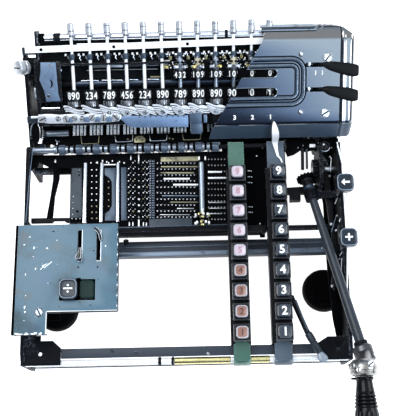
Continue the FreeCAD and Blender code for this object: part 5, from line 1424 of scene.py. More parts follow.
# guide bars, slide rod with its pinions, transfer shaft
p = Piece("guide_and_slide_rods")
for u, w in ((84.7, 2.9), (101.2, 2.9), (117.6, 2.9)):
    x0_, ya = at(u - w / 2, 165.0, 79.6)
    x1_, yb = at(u + w / 2, 220.6, 79.6)
    xm = (x0_ + x1_) / 2
    hw = (x1_ - x0_) / 2
    plate(p, "chrome", rrect(xm - hw, -hw, xm + hw, hw, hw * 0.7, 5), 0, 63.5, M=Matrix(((1, 0, 0, 0), (0, 0, 1, -9.0), (0, 1, 0, 77.4), (0, 0, 0, 1))), bevel=0.2)
x_, _ = at(201.6, 185, 82)
lathe(p, "steel", [(0, 0), (2.3, 0), (2.5, 0.3), (2.5, 53.7), (2.3, 54), (0, 54)], frame_to((x_, -2.0, 80.0), (0, 1, 0)), 28)
lathe(p, "collar", [(2.5, 0), (2.62, 0.1), (2.62, 49.0), (2.5, 49.1)], frame_to((x_, 2.0, 80.0), (0, 1, 0)), 28, caps=True)
rod(p, "dark", (x_, -11.0, 80.0), (x_, -2.0, 80.0), 1.6, 16)
for v0 in (213.6, 221.6):
    _, yy = at(201.6, v0, 86)
    A = frame_to((x_, yy - 1.3, 80.0), (0, 1, 0))
    lathe(p, "brass", [(0, -1.4), (2.6, -1.4), (2.8, -1.1), (2.8, 4.1), (2.6, 4.4), (0, 4.4)], A, 24)
    gear(p, "dark", 9, 3.4, 5.6, 0.2, 2.4, 0, A)
    for q in range(9):
        a = 2 * math.pi * (q + 0.5 * (v0 > 215)) / 9
        lathe(p, "ivory" if q % 3 else "brass", [(0, 0), (1.0, 0), (1.1, 0.3), (1.1, 2.2), (0.8, 2.6), (0, 2.7)], A @ T(7.0 * math.cos(a), 7.0 * math.sin(a), 0.0), 10)
        rod(p, "dark", tuple(A @ Vector((5.0 * math.cos(a), 5.0 * math.sin(a), 1.3))), tuple(A @ Vector((7.0 * math.cos(a), 7.0 * math.sin(a), 1.3))), 0.6, 8)
lathe(p, "collar", [(0, 0), (2.8, 0), (3.0, 0.3), (3.0, 21.4), (0, 21.4)], frame_to((-172.0, 68.5, 81.0), (1, 0, 0)), 26)
lathe(p, "dark", [(0, 0), (2.2, 0), (2.2, 9), (0, 9)], frame_to((-151.0, 68.5, 81.0), (1, 0, 0)), 24)
lathe(p, "dark", [(0, 0), (2.3, 0), (2.3, 232), (0, 232)], frame_to((-142.2, 68.5, 81.0), (1, 0, 0)), 24)
lathe(p, "dark", [(0, 0), (3.6, 0), (4.0, 0.5), (4.0, 5.6), (3.6, 6.1), (2.6, 6.6), (0, 6.6)], frame_to((-178.0, 68.5, 81.0), (1, 0, 0)), 26)
p.done("root", ["fixed_rods"], angle=40)

# transfer gears: blued blocks between bright and black collars
p = Piece("transfer_gears_turned")
A = frame_to((0, 68.5, 81.0), (1, 0, 0))
for i in range(10):
    x = -141.2 + 17.62 * i
    gear(p, "gear_blue", 12, 4.5, 5.1, x - 3.2, x + 3.2, 0, A, root=0.7, tip=0.55, phase=0.13 * i)
    if i < 9:
        lathe(p, "collar", [(2.35, x + 3.6), (3.9, x + 3.6), (4.1, x + 3.8), (4.1, x + 6.0), (3.9, x + 6.2), (2.35, x + 6.2)], A, 28)
        lathe(p, "void", [(2.35, x + 6.1), (3.4, x + 6.1), (3.4, x + 8.2), (2.35, x + 8.2)], A, 24)
        lathe(p, "collar", [(2.35, x + 8.4), (3.7, x + 8.4), (3.9, x + 8.6), (3.9, x + 11.6), (3.7, x + 11.8), (2.35, x + 11.8)], A, 28)
        lathe(p, "void", [(2.35, x + 12.3), (4.2, x + 12.3), (4.2, x + 14.3), (2.35, x + 14.3)], A, 24)
lathe(p, "collar", [(2.35, -150.4), (3.9, -150.4), (4.1, -150.1), (4.1, -146.6), (3.9, -146.2), (2.35, -146.2)], A, 28)
lathe(p, "void", [(2.35, -146.2), (3.6, -146.2), (3.6, -144.5), (2.35, -144.5)], A, 24)
p.done("transfer_gears", ["transfer_gears"], angle=35)

# pinwheel rotor: black drum, bright toothed discs, end gear; the black drum and the black rings beside the discs are
# painted shade between the discs
p = Piece("pinwheel_rotor_turned")
A = frame_to((0, 93.0, 56.5), (1, 0, 0))
lathe(p, "void", [(0, -150.0), (13.4, -150.0), (14.0, -149.4), (14.0, 24.6), (13.4, 25.2), (0, 25.2)], A, 40)
for i in range(1, 10):
    xc = -142.5 + 17.62 * i
    for j, (dx, w) in enumerate(((-5.6, 2.3), (-1.9, 1.9), (1.9, 2.5), (5.6, 1.8))):
        gear(p, "tooth", 34, 18.4, 19.9, xc + dx - w / 2, xc + dx + w / 2, 13.0, A, phase=0.05 * i)
        lathe(p, "void", [(13.9, xc + dx + w / 2 + 0.12), (17.2, xc + dx + w / 2 + 0.12), (17.2, xc + dx + w / 2 + 0.9), (13.9, xc + dx + w / 2 + 0.9)], A, 36, caps=False)
    gear(p, "void", 22, 16.0, 19.0, xc + 1.8, xc + 2.6, 13.0, A, phase=0.1)
lathe(p, "chrome", [(0, -162.0), (2.9, -162.0), (3.1, -161.7), (3.1, -150), (0, -150)], A, 24)
lathe(p, "steel", [(0, -171.0), (3.6, -171.0), (4.0, -170.5), (4.0, -162.0), (3.2, -162.0), (0, -162.0)], A, 24)
gear(p, "gear_blue", 36, 16.4, 18.4, -167.4, -163.2, 4.0, A, root=0.6, tip=0.3)
gear(p, "steel", 36, 16.8, 18.5, -162.9, -162.2, 4.0, A, root=0.5, tip=0.22)
lathe(p, "void", [(4.0, -161.9), (15.0, -161.9), (15.0, -161.3), (4.0, -161.3)], A, 36, caps=True)
lathe(p, "steel", [(0, 25.2), (4.0, 25.2), (4.0, 118), (0, 118)], A, 24)
gear(p, "dark", 24, 22.9, 25.1, 122.5, 126.0, 4.0, A, root=0.6, tip=0.3)
lathe(p, "dark", [(0, 118), (9.0, 118), (9.4, 118.4), (9.4, 122.5), (4, 122.5), (4, 126.0), (7, 126.0), (7.2, 126.3), (7.2, 129.4), (7.0, 129.7), (0, 129.7)], A, 32)
lathe(p, "steel", [(0, 129.7), (3.6, 129.7), (3.6, 141.5), (0, 141.5)], A, 24)
p.done("pinwheel_rotor", ["pinwheel_rotor"], angle=35)

# drive gear with a small gear beside it
p = Piece("drive_gear_turned")
A = frame_to((0, 46.0, 68.3), (1, 0, 0))
gear(p, "dark", 24, 22.9, 25.1, 122.5, 126.0, 3.0, A, root=0.6, tip=0.3, phase=math.radians(7.5))
lathe(p, "dark", [(3.0, 126.0), (7.0, 126.0), (7.3, 126.3), (7.3, 129.5), (7.0, 129.8), (3.0, 129.8)], A, 32, caps=True)
gear(p, "dark", 20, 8.6, 10.4, 117.6, 122.4, 3.0, A, root=0.6, tip=0.25)
lathe(p, "steel", [(0, 117.5), (2.8, 117.5), (3.0, 117.8), (3.0, 146.0), (2.8, 146.3), (0, 146.3)], A, 24)
p.done("drive_gear", ["drive_gear"], angle=35)

# fixed trim above the rotor: black guard, U-shaped wires, chrome stub, left guide drum; the black guard and the black
# sheet at the left are painted shade
p = Piece("rotor_guard_and_wires")
pplate(p, "void", [(70.5, 135.8), (226, 131.4), (226, 141.0), (200, 142.4), (62, 145.6), (56, 145.6), (56, 139.0), (70.5, 138.6)], 77.4, 78.6, 0.2)
for u0, u1, v0, v1, m in ((80.8, 99.0, 136.4, 143.6, "khaki"), (115.0, 132.8, 135.6, 141.6, "steel"), (149.4, 167.0, 135.0, 140.6, "steel"), (182.4, 200.8, 134.0, 139.6, "khaki")):
    a, b, c, d = at(u0, v0, 79.6), at(u0 + 1.0, v1, 79.6), at(u1 - 0.6, v1 - 0.5, 79.6), at(u1, v0 - 0.5, 79.6)
    e, f = at(u0 + 3.2, v1 + 0.2, 79.6), at(u1 - 3.0, v1 - 0.2, 79.6)
    sweep(p, m, [(*a, 79.1), ((a[0] + b[0]) / 2, (a[1] + b[1]) / 2, 79.3), (*b, 79.3), (*e, 79.3), (*f, 79.3), (*c, 79.3), (*d, 79.1)], 0.45, 8)
pplate(p, "khaki", [(133.5, 139.4), (136, 136.4), (142, 135.6), (145.6, 138.6), (145, 142.2), (134.5, 142.6)], 78.6, 79.4, 0.3)
for u, v in ((136.5, 139.6), (139.6, 138.0), (142.4, 140.0)):
    stud(p, "void", u, v, 79.4, 0.8, 0.5)
for u, v in ((127.8, 139.0), (130.2, 140.8), (169.5, 138.2), (172.8, 138.8)):
    stud(p, "khaki", u, v, 78.6, 0.8, 0.7)
lathe(p, "collar", [(0, 0), (2.8, 0), (3.1, 0.3), (3.1, 22.6), (2.8, 22.9), (0, 22.9)], frame_to((*at(46.4, 133.0, 81.0), 78.4), (1, 0.03, 0)), 28)
lathe(p, "grille", [(0, 0), (3.6, 0), (4.0, 0.4), (4.0, 3.2), (3.6, 3.6), (0, 3.6)], frame_to((*at(42.4, 133.2, 81.0), 78.4), (1, 0.03, 0)), 28)
pplate(p, "void", [(30.5, 121), (76, 120), (76, 127), (70, 128), (70, 137.5), (58, 138), (57, 144), (44, 144.4), (36, 138), (31, 130)], 73.6, 74.8, 0.2)
sweep(p, "steel", [(*at(55.6, 139.4, 80), 77.5), (*at(57.2, 141.2, 80), 78.4), (*at(56.6, 144.2, 80), 78.2)], 0.9, 10)
sweep(p, "steel", [(*at(60.4, 139.0, 80), 77.5), (*at(58.4, 141.4, 80), 78.4)], 0.6, 10)
# left guide drum: dark ring standing in the frame, ticks of its toothed wheel
plate(p, "void", [at(36.4 + 5.2 * math.cos(t), 132.5 + 11.4 * math.sin(t), 82) for t in [2 * math.pi * k / 24 for k in range(24)]], 79.0, 82.0)
ring = []
for k in range(25):
    t = math.radians(150 + 240 * k / 24)
    ring.append((*at(36.0 + 5.4 * math.cos(t), 132.5 + 11.6 * math.sin(t), 84), 82.6))
sweep(p, "dark", ring, 1.5, 10)
ring = []
for k in range(17):
    t = math.radians(165 + 150 * k / 16)
    ring.append((*at(35.6 + 5.0 * math.cos(t), 132.5 + 11.0 * math.sin(t), 85), 84.0))
sweep(p, "collar", ring, 0.45, 8)
for k in range(12):
    t = math.radians(-72 + 144 * k / 11)
    u, v = 37.2 + 2.6 * math.cos(t), 134.0 + 9.4 * math.sin(t)
    prect(p, "steel", u, v - 0.42, u + 3.6, v + 0.42, 82.5, 83.5, 0.15)
p.done("root", (), angle=40)


# ------------------------------------------------------------------ front bars
p = Piece("front_bars_turned")
plate(p, "framelit", [(-139.0, -143.5), (142.0, -143.5), (142.0, -134.0), (-139.0, -134.0)], 63.5, 66.0, bevel=0.4)
bbox(p, "frame", (-139.0, -136.4, 43.5), (142.0, -134.0, 64.0), 0.4)
FX = lambda m, a, b, r, seg=30: lathe(p, m, [(0, 0), (r - 0.3, 0), (r, 0.3), (r, b - a - 0.3), (r - 0.3, b - a), (0, b - a)], frame_to((a, -147.5, 62.0), (1, 0, 0)), seg)
FX("shaft", -174.0, 142.0, 3.0)
sweep(p, "dark", [(-173.5, -150.2, 60.9), (0, -150.2, 60.9), (141.5, -150.2, 60.9)], 0.5, 8)
FX("dark", -44.0, -41.0, 4.0)
FX("dark", -31.0, -28.5, 4.0)
FX("brass", -28.2, 27.0, 3.45)
FX("brass", 46.8, 65.2, 3.45)
bbox(p, "frame", (-172.0, -151.6, 54.0), (142.0, -150.8, 59.5), 0.2)
for u, v in ((112, 351), (136, 353), (208, 354), (60.5, 350)):
    x, y = at(u, v, 66)
    screw(p, x, max(min(y, -136.0), -141.5), 66.0, 1.7, 0.8, 35 + u, "grille" if u != 208 else "stud")
p.done("root", ["front_bars"], angle=40)

# ------------------------------------------------------------------ painted channels of the two key columns
SL = math.tan(math.radians(4.04))


def channel(name, node, xm, w, mat, y_end):
    p = Piece(name)
    zt = lambda y: 84.2 + (y - 46.0) * SL
    hw = w / 2
    prof = [(-151.2, 58.5), (-153.2, 61.0), (-153.4, 64.0), (-152.2, 67.0), (-149.6, zt(-149.5))]
    pts = prof + [(-140.0 + 10.0 * k, zt(-140.0 + 10.0 * k)) for k in range(0, 19)] + [(46.0, 84.2), (56.0, 85.0), (66.0, 85.8), (y_end, 86.0)]
    mats = []
    rings = []
    for j, (y, z) in enumerate(pts):
        a = pts[max(j - 1, 0)]
        b = pts[min(j + 1, len(pts) - 1)]
        d = Vector((0, b[0] - a[0], b[1] - a[1])).normalized()
        n = Vector((0, -d.z, d.y)) * 0.6
        c = Vector((xm, y, z))
        X = Vector((hw, 0, 0))
        e = Vector((0.45, 0, 0))
        rings.append([c - X - n, c - X + n * 0.4, c - X + e + n, c + X - e + n, c + X + n * 0.4, c + X - n])
    for j in range(1, len(rings)):
        y = (pts[j][0] + pts[j - 1][0]) / 2
        mats.append(mat if (y < -132.5 or y > 42.5) else "black_side")
    loft(p, mat, rings, mats=mats)
    # side walls below the top sheet
    for sx in (-1, 1):
        x0 = xm + sx * (hw - 0.6)
        wall = [(-148.5, zt(-148.5) - 0.6), (64.0, 85.0), (64.0, 71.0), (-142.0, 58.0)]
        verts = [(x0 - 0.6, y, z) for y, z in wall] + [(x0 + 0.6, y, z) for y, z in wall]
        p.add(verts, [[0, 1, 2, 3], [7, 6, 5, 4], [0, 4, 5, 1], [1, 5, 6, 2], [2, 6, 7, 3], [3, 7, 4, 0]], "black_side")
    # black guide strip seen along the left of the keys
    for sx, ww in ((-1, 2.2), (1, 0.9)):
        xs0, xs1 = (xm - hw - ww, xm - hw + 1.5) if sx < 0 else (xm + hw - 1.0, xm + hw + ww)
        wall = [(-134.0, zt(-134.0) + 2.5), (42.0, 86.6), (42.0, 72.0), (-134.0, 62.0)]
        verts = [(xs0, y, z) for y, z in wall] + [(xs1, y, z) for y, z in wall]
        p.add(verts, [[0, 1, 2, 3], [7, 6, 5, 4], [0, 4, 5, 1], [1, 5, 6, 2], [2, 6, 7, 3], [3, 7, 4, 0]], "black_side")
    p.done("root", [node], angle=38)


channel("green_channel_sheet", "green_key_channel", 38.0, 16.4, "green", 71.0)
channel("slate_channel_sheet", "black_key_channel", 78.4, 17.4, "slate", 71.0)

# ------------------------------------------------------------------ left function panel
p = Piece("function_panel_sheet")
out = [(-178.5, -16.8), (-80.7, -16.8), (-80.7, -103.0), (-147.9, -103.0), (-147.9, -124.4), (-178.5, -124.4)]
slots = [[(-119.6, -54.0), (-115.8, -54.0), (-115.8, -23.2), (-119.6, -23.2)], [(-101.3, -54.0), (-97.5, -54.0), (-97.5, -23.2), (-101.3, -23.2)],
         [(-136.5, -92.4), (-102.2, -92.4), (-102.2, -72.0), (-116.2, -72.0), (-116.2, -70.6), (-120.6, -70.6), (-120.6, -72.0), (-136.5, -72.0)]]
plate(p, "panel", out, 98.5, 100.0, slots, bevel=0.35)
bbox(p, "frame", (-179.7, -124.0, 88.0), (-178.3, -17.2, 99.2), 0.3)
bbox(p, "panel", (-178.5, -18.0, 92.0), (-80.9, -16.9, 98.9), 0.3)
bbox(p, "frame", (-178.5, -124.3, 93.0), (-148.0, -123.2, 98.8), 0.3)
bbox(p, "dark", (-147.9, -103.6, 94.5), (-80.9, -102.6, 98.9), 0.3)
bbox(p, "dark", (-81.6, -102.6, 91.0), (-80.4, -17.2, 98.9), 0.3)
# black sheet below the slots: painted shade seen through them
plate(p, "void", [(-143, -99), (-92, -99), (-92, -18), (-126, -18), (-126, -60), (-143, -60)], 82.0, 83.0)
bbox(p, "void", (-181.0, -124.4, 96.0), (-178.6, -16.8, 99.9), 0.2)
plate(p, "ivory", [(-147.7, -102.9), (-81.0, -102.9), (-81.0, -102.35), (-110, -102.5), (-147.7, -102.2)], 99.9, 100.12)
plate(p, "ivory", [(-148.6, -124.2), (-147.95, -124.2), (-147.95, -102.8), (-148.5, -102.8)], 99.9, 100.12)
for a_, b_, w_ in ((-174.5, -123.6, 3.6), (-166.4, -123.8, 2.2), (-158.8, -123.4, 3.0), (-153.0, -123.7, 1.6)):
    plate(p, "ivory", [(a_ + w_ * (1 + 0.35 * math.sin(3 * t + a_)) * math.cos(t), b_ + 1.0 * (1 + 0.5 * math.cos(2 * t + a_)) * max(math.sin(t), -0.5)) for t in [2 * math.pi * q / 12 for q in range(12)]], 99.95, 100.08)
for k_ in range(16):
    b_ = -99.0 + 5.0 * k_
    plate(p, "void" if k_ % 2 else "ivory", [(-81.6, b_), (-80.75, b_ - 0.4), (-80.75, b_ + 1.9), (-81.2, b_ + 1.5)], 99.9, 100.1)
x, y = -155.0, -103.3
lathe(p, "dark", [(0, 0), (4.5, 0), (4.3, 0.3), (0, 0.3)], T(x, y, 100.0), 30)
screw(p, x, y, 100.2, 3.8, 1.5, 118, "collar")
# bright lines on two sides of each slot, partly worn metal and partly painted highlight; the dark line on the third
# side is painted shade
for (x0, x1) in ((-119.6, -115.8), (-101.3, -97.5)):
    path = [(x0 - 0.2, -54.2), (x1 + 0.2, -54.2), (x1 + 0.2, -23.0), (x0 - 0.2, -23.0)]
    for a, b, m in ((0, 1, "steel"), (1, 2, "steel"), (3, 0, "dark")):
        q0, q1 = path[a], path[b]
        sweep(p, m, [(*q0, 100.0), ((q0[0] + q1[0]) / 2, (q0[1] + q1[1]) / 2, 100.02), (*q1, 100.0)], 0.3, 8, flat=(0.3, 0.12))
for u, v, w, h_, m in ((78.2, 267.0, 1.6, 1.3, "void"), (97.6, 266.8, 1.5, 1.4, "void"), (80.0, 302.2, 2.0, 0.7, "void"), (30.0, 237.0, 1.3, 0.7, "ivory"), (24.4, 244.8, 1.1, 1.1, "ivory"),
                   (47.2, 248.2, 1.5, 0.8, "ivory"), (57.0, 240.4, 0.6, 0.8, "ivory"), (90.4, 305.0, 1.6, 0.6, "void"), (106.4, 303.5, 1.0, 0.5, "void"), (33.2, 256.6, 0.6, 0.7, "ivory"),
                   (35.6, 268.8, 0.9, 1.5, "ivory"), (25.4, 274.6, 0.6, 1.5, "ivory"), (25.6, 295.6, 0.6, 1.0, "ivory"), (24.6, 307.5, 0.9, 3.4, "ivory"), (24.9, 312.0, 1.2, 1.2, "ivory"),
                   (105.6, 246.0, 0.8, 1.4, "leverwhite"), (24.0, 320.6, 0.7, 0.6, "ivory"), (34.0, 247.6, 0.5, 1.8, "leverwhite"), (59.2, 306.6, 1.2, 0.6, "void"), (48.0, 283.2, 0.6, 0.5, "leverwhite")):
    x, y = at(u, v, 100)
    plate(p, m, [(x + w * (0.8 + 0.35 * math.sin(3 * t + u)) * math.cos(t) * 0.8, y + h_ * (0.8 + 0.35 * math.cos(2 * t + v)) * math.sin(t) * 0.8) for t in [2 * math.pi * k / 13 for k in range(13)]], 99.95, 100.06)
rs = random.Random(5)
MAT["rust"] = paint("rust_spot", (0.085, 0.070, 0.050), (0.040, 0.040, 0.036), 0.5, 0.7, coat=0.0, wear_amt=0.0, spec=0.1)
for k in range(44):
    x, y = rs.uniform(-176.5, -83), rs.uniform(-101, -19)
    if k % 2:
        x = -177 + 60 * (rs.random() ** 1.6)
    if any(a - 2.5 < x < b + 2.5 and c - 2 < y < d + 2 for a, b, c, d in ((-136.5, -102.2, -92.4, -70.6), (-119.6, -115.8, -54, -23.2), (-101.3, -97.5, -54, -23.2))):
        continue
    w = rs.uniform(0.25, 0.9) * (1.7 if k % 9 == 0 else 1.0)
    ph_ = rs.uniform(0, 6)
    plate(p, "rust" if k % 3 else "void", [(x + w * (0.75 + 0.3 * math.sin(3 * t + ph_)) * math.cos(t), y + w * (0.6 + 0.25 * math.cos(2 * t + ph_)) * math.sin(t)) for t in [2 * math.pi * q / 10 for q in range(10)]], 99.95, 100.03)
# engraved scratches
for a, b in (((40.6, 269.4), (43.2, 266.2)), ((43.2, 266.2), (47.0, 263.4)), ((44.4, 267.6), (51.8, 261.6)), ((42.0, 265.6), (44.8, 268.0)), ((41.6, 263.8), (43.4, 264.4))):
    q0, q1 = at(*a, 100), at(*b, 100)
    sweep(p, "steel", [(*q0, 100.0), ((q0[0] + q1[0]) / 2 + 0.15, (q0[1] + q1[1]) / 2, 100.02), (*q1, 100.0)], 0.2, 6, flat=(0.22, 0.1))
p.done("root", ["function_panel"], angle=35)

# selector levers: spade-shaped finger pieces
for label, X, Y, sgn in (("left_selector_lever", -117.7, -48.5, 1), ("right_selector_lever", -99.4, -26.5, 1)):
    p = Piece(label + "_spade")
    bbox(p, "void", (X - 1.3, Y - 2.6, 88.5), (X + 1.3, Y + 2.6, 101.0), 0.25)
    if label[0] == "l":
        sp = [(0.0, 7.6, 1.0), (0.2, 4.8, 1.3), (0.2, 2.6, 1.9), (0.0, 0.6, 3.0), (-0.4, -1.6, 4.2), (-0.8, -3.6, 4.6), (-0.9, -5.0, 3.6), (-0.8, -5.9, 1.6)]
        zz = [101.2, 102.0, 103.0, 104.4, 105.6, 106.5, 106.9, 107.0]
    else:
        sp = [(2.6, -7.6, 1.4), (2.2, -6.4, 2.0), (1.8, -4.4, 2.2), (1.4, -2.4, 2.0), (0.6, 0.0, 2.2), (-1.0, 1.8, 2.6), (-2.8, 3.0, 2.4), (-3.8, 3.6, 1.4)]
        zz = [101.2, 101.8, 102.6, 103.6, 104.6, 105.6, 106.4, 106.8]
    rings = []
    for j, ((dx, dy, w), z) in enumerate(zip(sp, zz)):
        a, b = sp[max(j - 1, 0)], sp[min(j + 1, len(sp) - 1)]
        d = Vector((b[0] - a[0], b[1] - a[1], zz[min(j + 1, len(sp) - 1)] - zz[max(j - 1, 0)])).normalized()
        s_ = d.cross(Vector((0, 0, 1))).normalized()
        n_ = s_.cross(d).normalized()
        c = Vector((X + dx, Y + dy, z))
        rings.append([c + s_ * (w * 0.55 * math.cos(t)) + n_ * (0.65 * math.sin(t)) for t in [2 * math.pi * k / 12 for k in range(12)]])
    loft(p, "darkgear" if label[0] == "l" else "grille", rings)
    for e_ in (0, 6):
        sweep(p, "ivory", [tuple(r_[e_]) for r_ in rings[:-1]], 0.28, 8)
    if label[0] == "l":
        sweep(p, "khaki", [tuple(r_[3] + Vector((0, 0, 0.1))) for r_ in rings[2:-2]], 0.45, 8)
    p.done(label, [label], angle=45)

# ------------------------------------------------------------------ rails: lighter bands on the rail, painted light on its faces; stubs; black parts at the right
p = Piece("rail_trim")
pplate(p, "framelit", [(118.5, 243.6), (331.0, 237.6), (331.0, 241.2), (118.5, 247.2)], 50.0, 52.0, 0.3)
pplate(p, "gear_blue", [(118.5, 252.6), (331.0, 247.0), (331.0, 251.6), (118.5, 257.0)], 48.6, 50.4, 0.4)
pplate(p, "gear_blue", [(118.5, 247.3), (331.0, 241.3), (331.0, 242.2), (118.5, 248.2)], 50.0, 51.0, 0.2)
for u, v in ((126, 242.4), (262.5, 234.4)):
    x, y = at(u, v, 53)
    lathe(p, "dark", [(0, 0), (2.4, 0), (2.8, 0.4), (2.8, 5.4), (1.6, 6.4), (0, 6.6)], frame_to((x, y - 3, 51.5), (0, 1, 0.25)), 20)
for u, v in ((330, 252), (289.6, 248)):
    stud(p, "steel", u - 8, v - 4, 50.6, 1.1, 0.8, 12)
p.done("root", (), angle=40)

p = Piece("right_hand_works")
# black brackets between the cover and the crank
pplate(p, "void", [(284.5, 139.0), (338.5, 138.0), (338.6, 150.0), (334.0, 152.5), (330.5, 150.0), (327.0, 152.4), (319.0, 150.8), (316.0, 151.0), (314.0, 149.6), (306.0, 151.6), (300.0, 150.4),
                   (294.0, 154.4), (287.5, 156.4), (284.8, 150.0)], 72.0, 74.0, 0.3)
prect(p, "ivory", 309.6, 144.0, 315.4, 147.2, 74.0, 75.6, 0.3)
x, y = at(324.6, 146.0, 80)
lathe(p, "dark", [(0, 0), (5.6, 0), (6.0, 0.5), (6.0, 4.6), (5.2, 5.4), (2.4, 5.6), (2.0, 4.8), (0, 4.8)], T(x, y, 74.0), 32)
sweep(p, "steel", [(x + 5.7 * math.cos(t), y + 5.7 * math.sin(t), 79.4) for t in [math.radians(200 + 140 * k / 12) for k in range(13)]], 0.4, 8)
stud(p, "ivory", 323.8, 144.2, 79.0, 1.0, 1.0, 10)
for u, v in ((303.0, 145.4), (298.0, 147.6), (318.4, 142.6), (331.6, 147.6)):
    stud(p, "stud", u, v, 74.0, 0.8, 0.8)
# the two thin bars
x, y = at(302.6, 150.0, 76)
rod(p, "dark", (*at(302.4, 149.0, 76), 76.0), (*at(302.6, 170.0, 72), 72.0), 1.7, 14)
rod(p, "grille", (*at(306.6, 149.0, 76), 76.0), (*at(307.0, 169.0, 72), 72.0), 1.2, 14)
# cross link and block behind it
pplate(p, "frame", [(286.0, 187.6), (304.0, 186.4), (318.0, 184.4), (331.0, 176.0), (331.0, 180.5), (320.0, 190.4), (304.0, 192.2), (286.0, 193.0)], 56.0, 60.0, 0.4)
pplate(p, "void", [(289.8, 192.4), (300.6, 192.0), (300.8, 200.4), (290.0, 200.8)], 50.0, 57.0, 0.4)
# link from the hub to the right frame
pplate(p, "dark", [(300.0, 177.6), (318.0, 176.4), (331.0, 171.6), (333.0, 177.0), (319.0, 182.6), (302.0, 184.6)], 55.0, 57.0, 0.4)
# thin blue-grey strip along the top of the link: painted highlight
pplate(p, "stepplate", [(303.0, 179.6), (318.0, 178.6), (331.0, 174.0), (331.0, 175.4), (318.0, 180.2), (303.0, 181.4)], 57.0, 57.5, 0.2)
# link plates along the right frame
pplate(p, "void", [(318.0, 146.0), (333.0, 146.0), (339.0, 172.0), (340.0, 190.0), (341.0, 236.0), (341.0, 300.0), (343.0, 338.0), (337.6, 340.0), (333.0, 318.0), (327.4, 268.0), (325.0, 232.0),
                   (323.4, 204.0), (320.0, 184.0)], 40.0, 44.0, 0.4)
pplate(p, "dark", [(322.0, 152.0), (327.0, 151.0), (329.0, 176.0), (333.0, 200.0), (333.4, 224.0), (329.6, 226.0), (326.6, 205.0), (323.4, 182.0)], 66.0, 68.5, 0.4)
pplate(p, "dark", [(331.0, 228.0), (336.4, 226.0), (339.0, 250.0), (338.0, 276.0), (334.4, 290.0), (331.0, 286.0), (333.6, 262.0)], 62.0, 64.0, 0.4)
# thin bright rods and studs drawn where the black works show glints: painted highlights
for a, b, r, m, z in (((337.4, 146.0), (344.2, 172.4), 0.55, "steel", 86), ((340.0, 193.0), (334.8, 204.0), 0.6, "steel", 74), ((343.8, 203.0), (339.4, 222.0), 0.45, "steel", 74),
                      ((331.2, 158.0), (330.4, 172.0), 0.6, "steel", 72), ((328.4, 161.0), (320.0, 164.0), 0.7, "dark", 72), ((318.2, 167.0), (329.0, 170.6), 0.9, "steel", 72),
                      ((345.4, 246.0), (339.8, 256.0), 0.5, "steel", 72), ((341.8, 258.0), (341.2, 272.0), 0.5, "steel", 70), ((336.2, 216.0), (331.4, 232.0), 0.5, "gear_blue", 72),
                      ((343.8, 186.0), (345.6, 212.0), 0.4, "steel", 78)):
    rod(p, m, (*at(*a, z), z), (*at(*b, z), z), r, 10, 0.1)
for u, v, r in ((330.0, 156.6, 1.2), (329.6, 175.8, 1.1), (337.0, 215.6, 1.1), (336.2, 230.0, 1.3), (341.0, 203.6, 0.9), (332.6, 285.6, 1.4), (341.6, 275.8, 1.0), (325.0, 168.6, 1.0),
                (331.2, 223.8, 1.6), (338.4, 189.6, 0.9), (339.6, 258.8, 0.8)):
    stud(p, "steel", u, v, 68.0, r, 1.6, 12)
# springs
for (u0, v0), (u1, v1), z in (((321.6, 156.0), (327.8, 166.0), 69), ((335.4, 176.0), (337.4, 200.0), 70), ((338.6, 226.0), (340.2, 244.0), 70)):
    a, b = Vector((*at(u0, v0, z), z)), Vector((*at(u1, v1, z), z))
    d = (b - a)
    Mx = frame_to(tuple(a), tuple(d.normalized()))
    n = int(d.length / 1.3)
    sweep(p, "stud", [tuple(Mx @ Vector((1.4 * math.cos(k * math.pi / 3), 1.4 * math.sin(k * math.pi / 3), k / 6 * d.length / n))) for k in range(6 * n + 1)], 0.32, 6)
p.done("root", (), angle=40)

# pale strips along the edges of the two side plates: painted highlights on their edges
p = Piece("side_plate_edges")
sweep(p, "slateplate", [(*at(32.4, 150.0, 92), 90.4), (*at(28.8, 180.0, 92), 90.4), (*at(25.4, 222.0, 92), 90.4)], 0.32, 8)
sweep(p, "ivory", [(*at(337.0, 142.0, 90), 89.6), (*at(345.6, 171.5, 90), 89.6), (*at(346.6, 191.0, 90), 89.6), (*at(347.4, 226.0, 90), 89.6), (*at(347.2, 292.0, 90), 89.6)], 0.55, 8)
p.done("root", (), angle=40)

# ------------------------------------------------------------------ crank, boss, grip
p = Piece("crank_turned")
OC, DV = Vector((108.2, 46.0, 68.3)), Vector((0.2098, -0.9653, 0.1565)).normalized()
A = frame_to(tuple(OC), tuple(DV))
MAT["rod_blue"] = paint("blue_black_rod", (0.014, 0.018, 0.024), (0.034, 0.041, 0.052), 0.22, 0.34, coat=0.0, scale=90, wear_amt=0.0, chips=0.12, spec=0.22, wear=(0.3, 0.33, 0.36))
MAT["barrel"] = metal("dull_nickel_barrel", (0.050, 0.050, 0.055), (0.130, 0.130, 0.138), 0.25, 0.45, bump=0.1, grime=0.35)
MAT["boss"] = metal("worn_nickel_boss", (0.42, 0.42, 0.41), (0.15, 0.14, 0.125), 0.16, 0.34, scale=90, bump=0.08, grime=0.6, grime_c=(0.03, 0.03, 0.035))
gear(p, "void", 14, 7.4, 9.6, 8.4, 13.0, 0, A, root=0.6, tip=0.35)
lathe(p, "dark", [(0, 13.0), (6.4, 13.0), (6.8, 13.4), (6.8, 15.0), (5.4, 15.6), (5.4, 20.4), (5.0, 20.8), (0, 20.8)], A, 36)
lathe(p, "blued", [(4.0, 20.8), (5.4, 20.8), (5.7, 21.2), (5.7, 23.6), (5.4, 24.0), (4.0, 24.0)], A, 36, caps=True)
lathe(p, "rod_blue", [(0, 20.0), (4.0, 20.0), (4.1, 26.0), (4.5, 80.0), (4.8, 189.8), (0, 189.8)], A, 36)
lathe(p, "dark", [(0, 189.6), (6.2, 189.6), (6.6, 190.2), (6.6, 194.0), (6.2, 194.6), (0, 194.6)], A, 36)
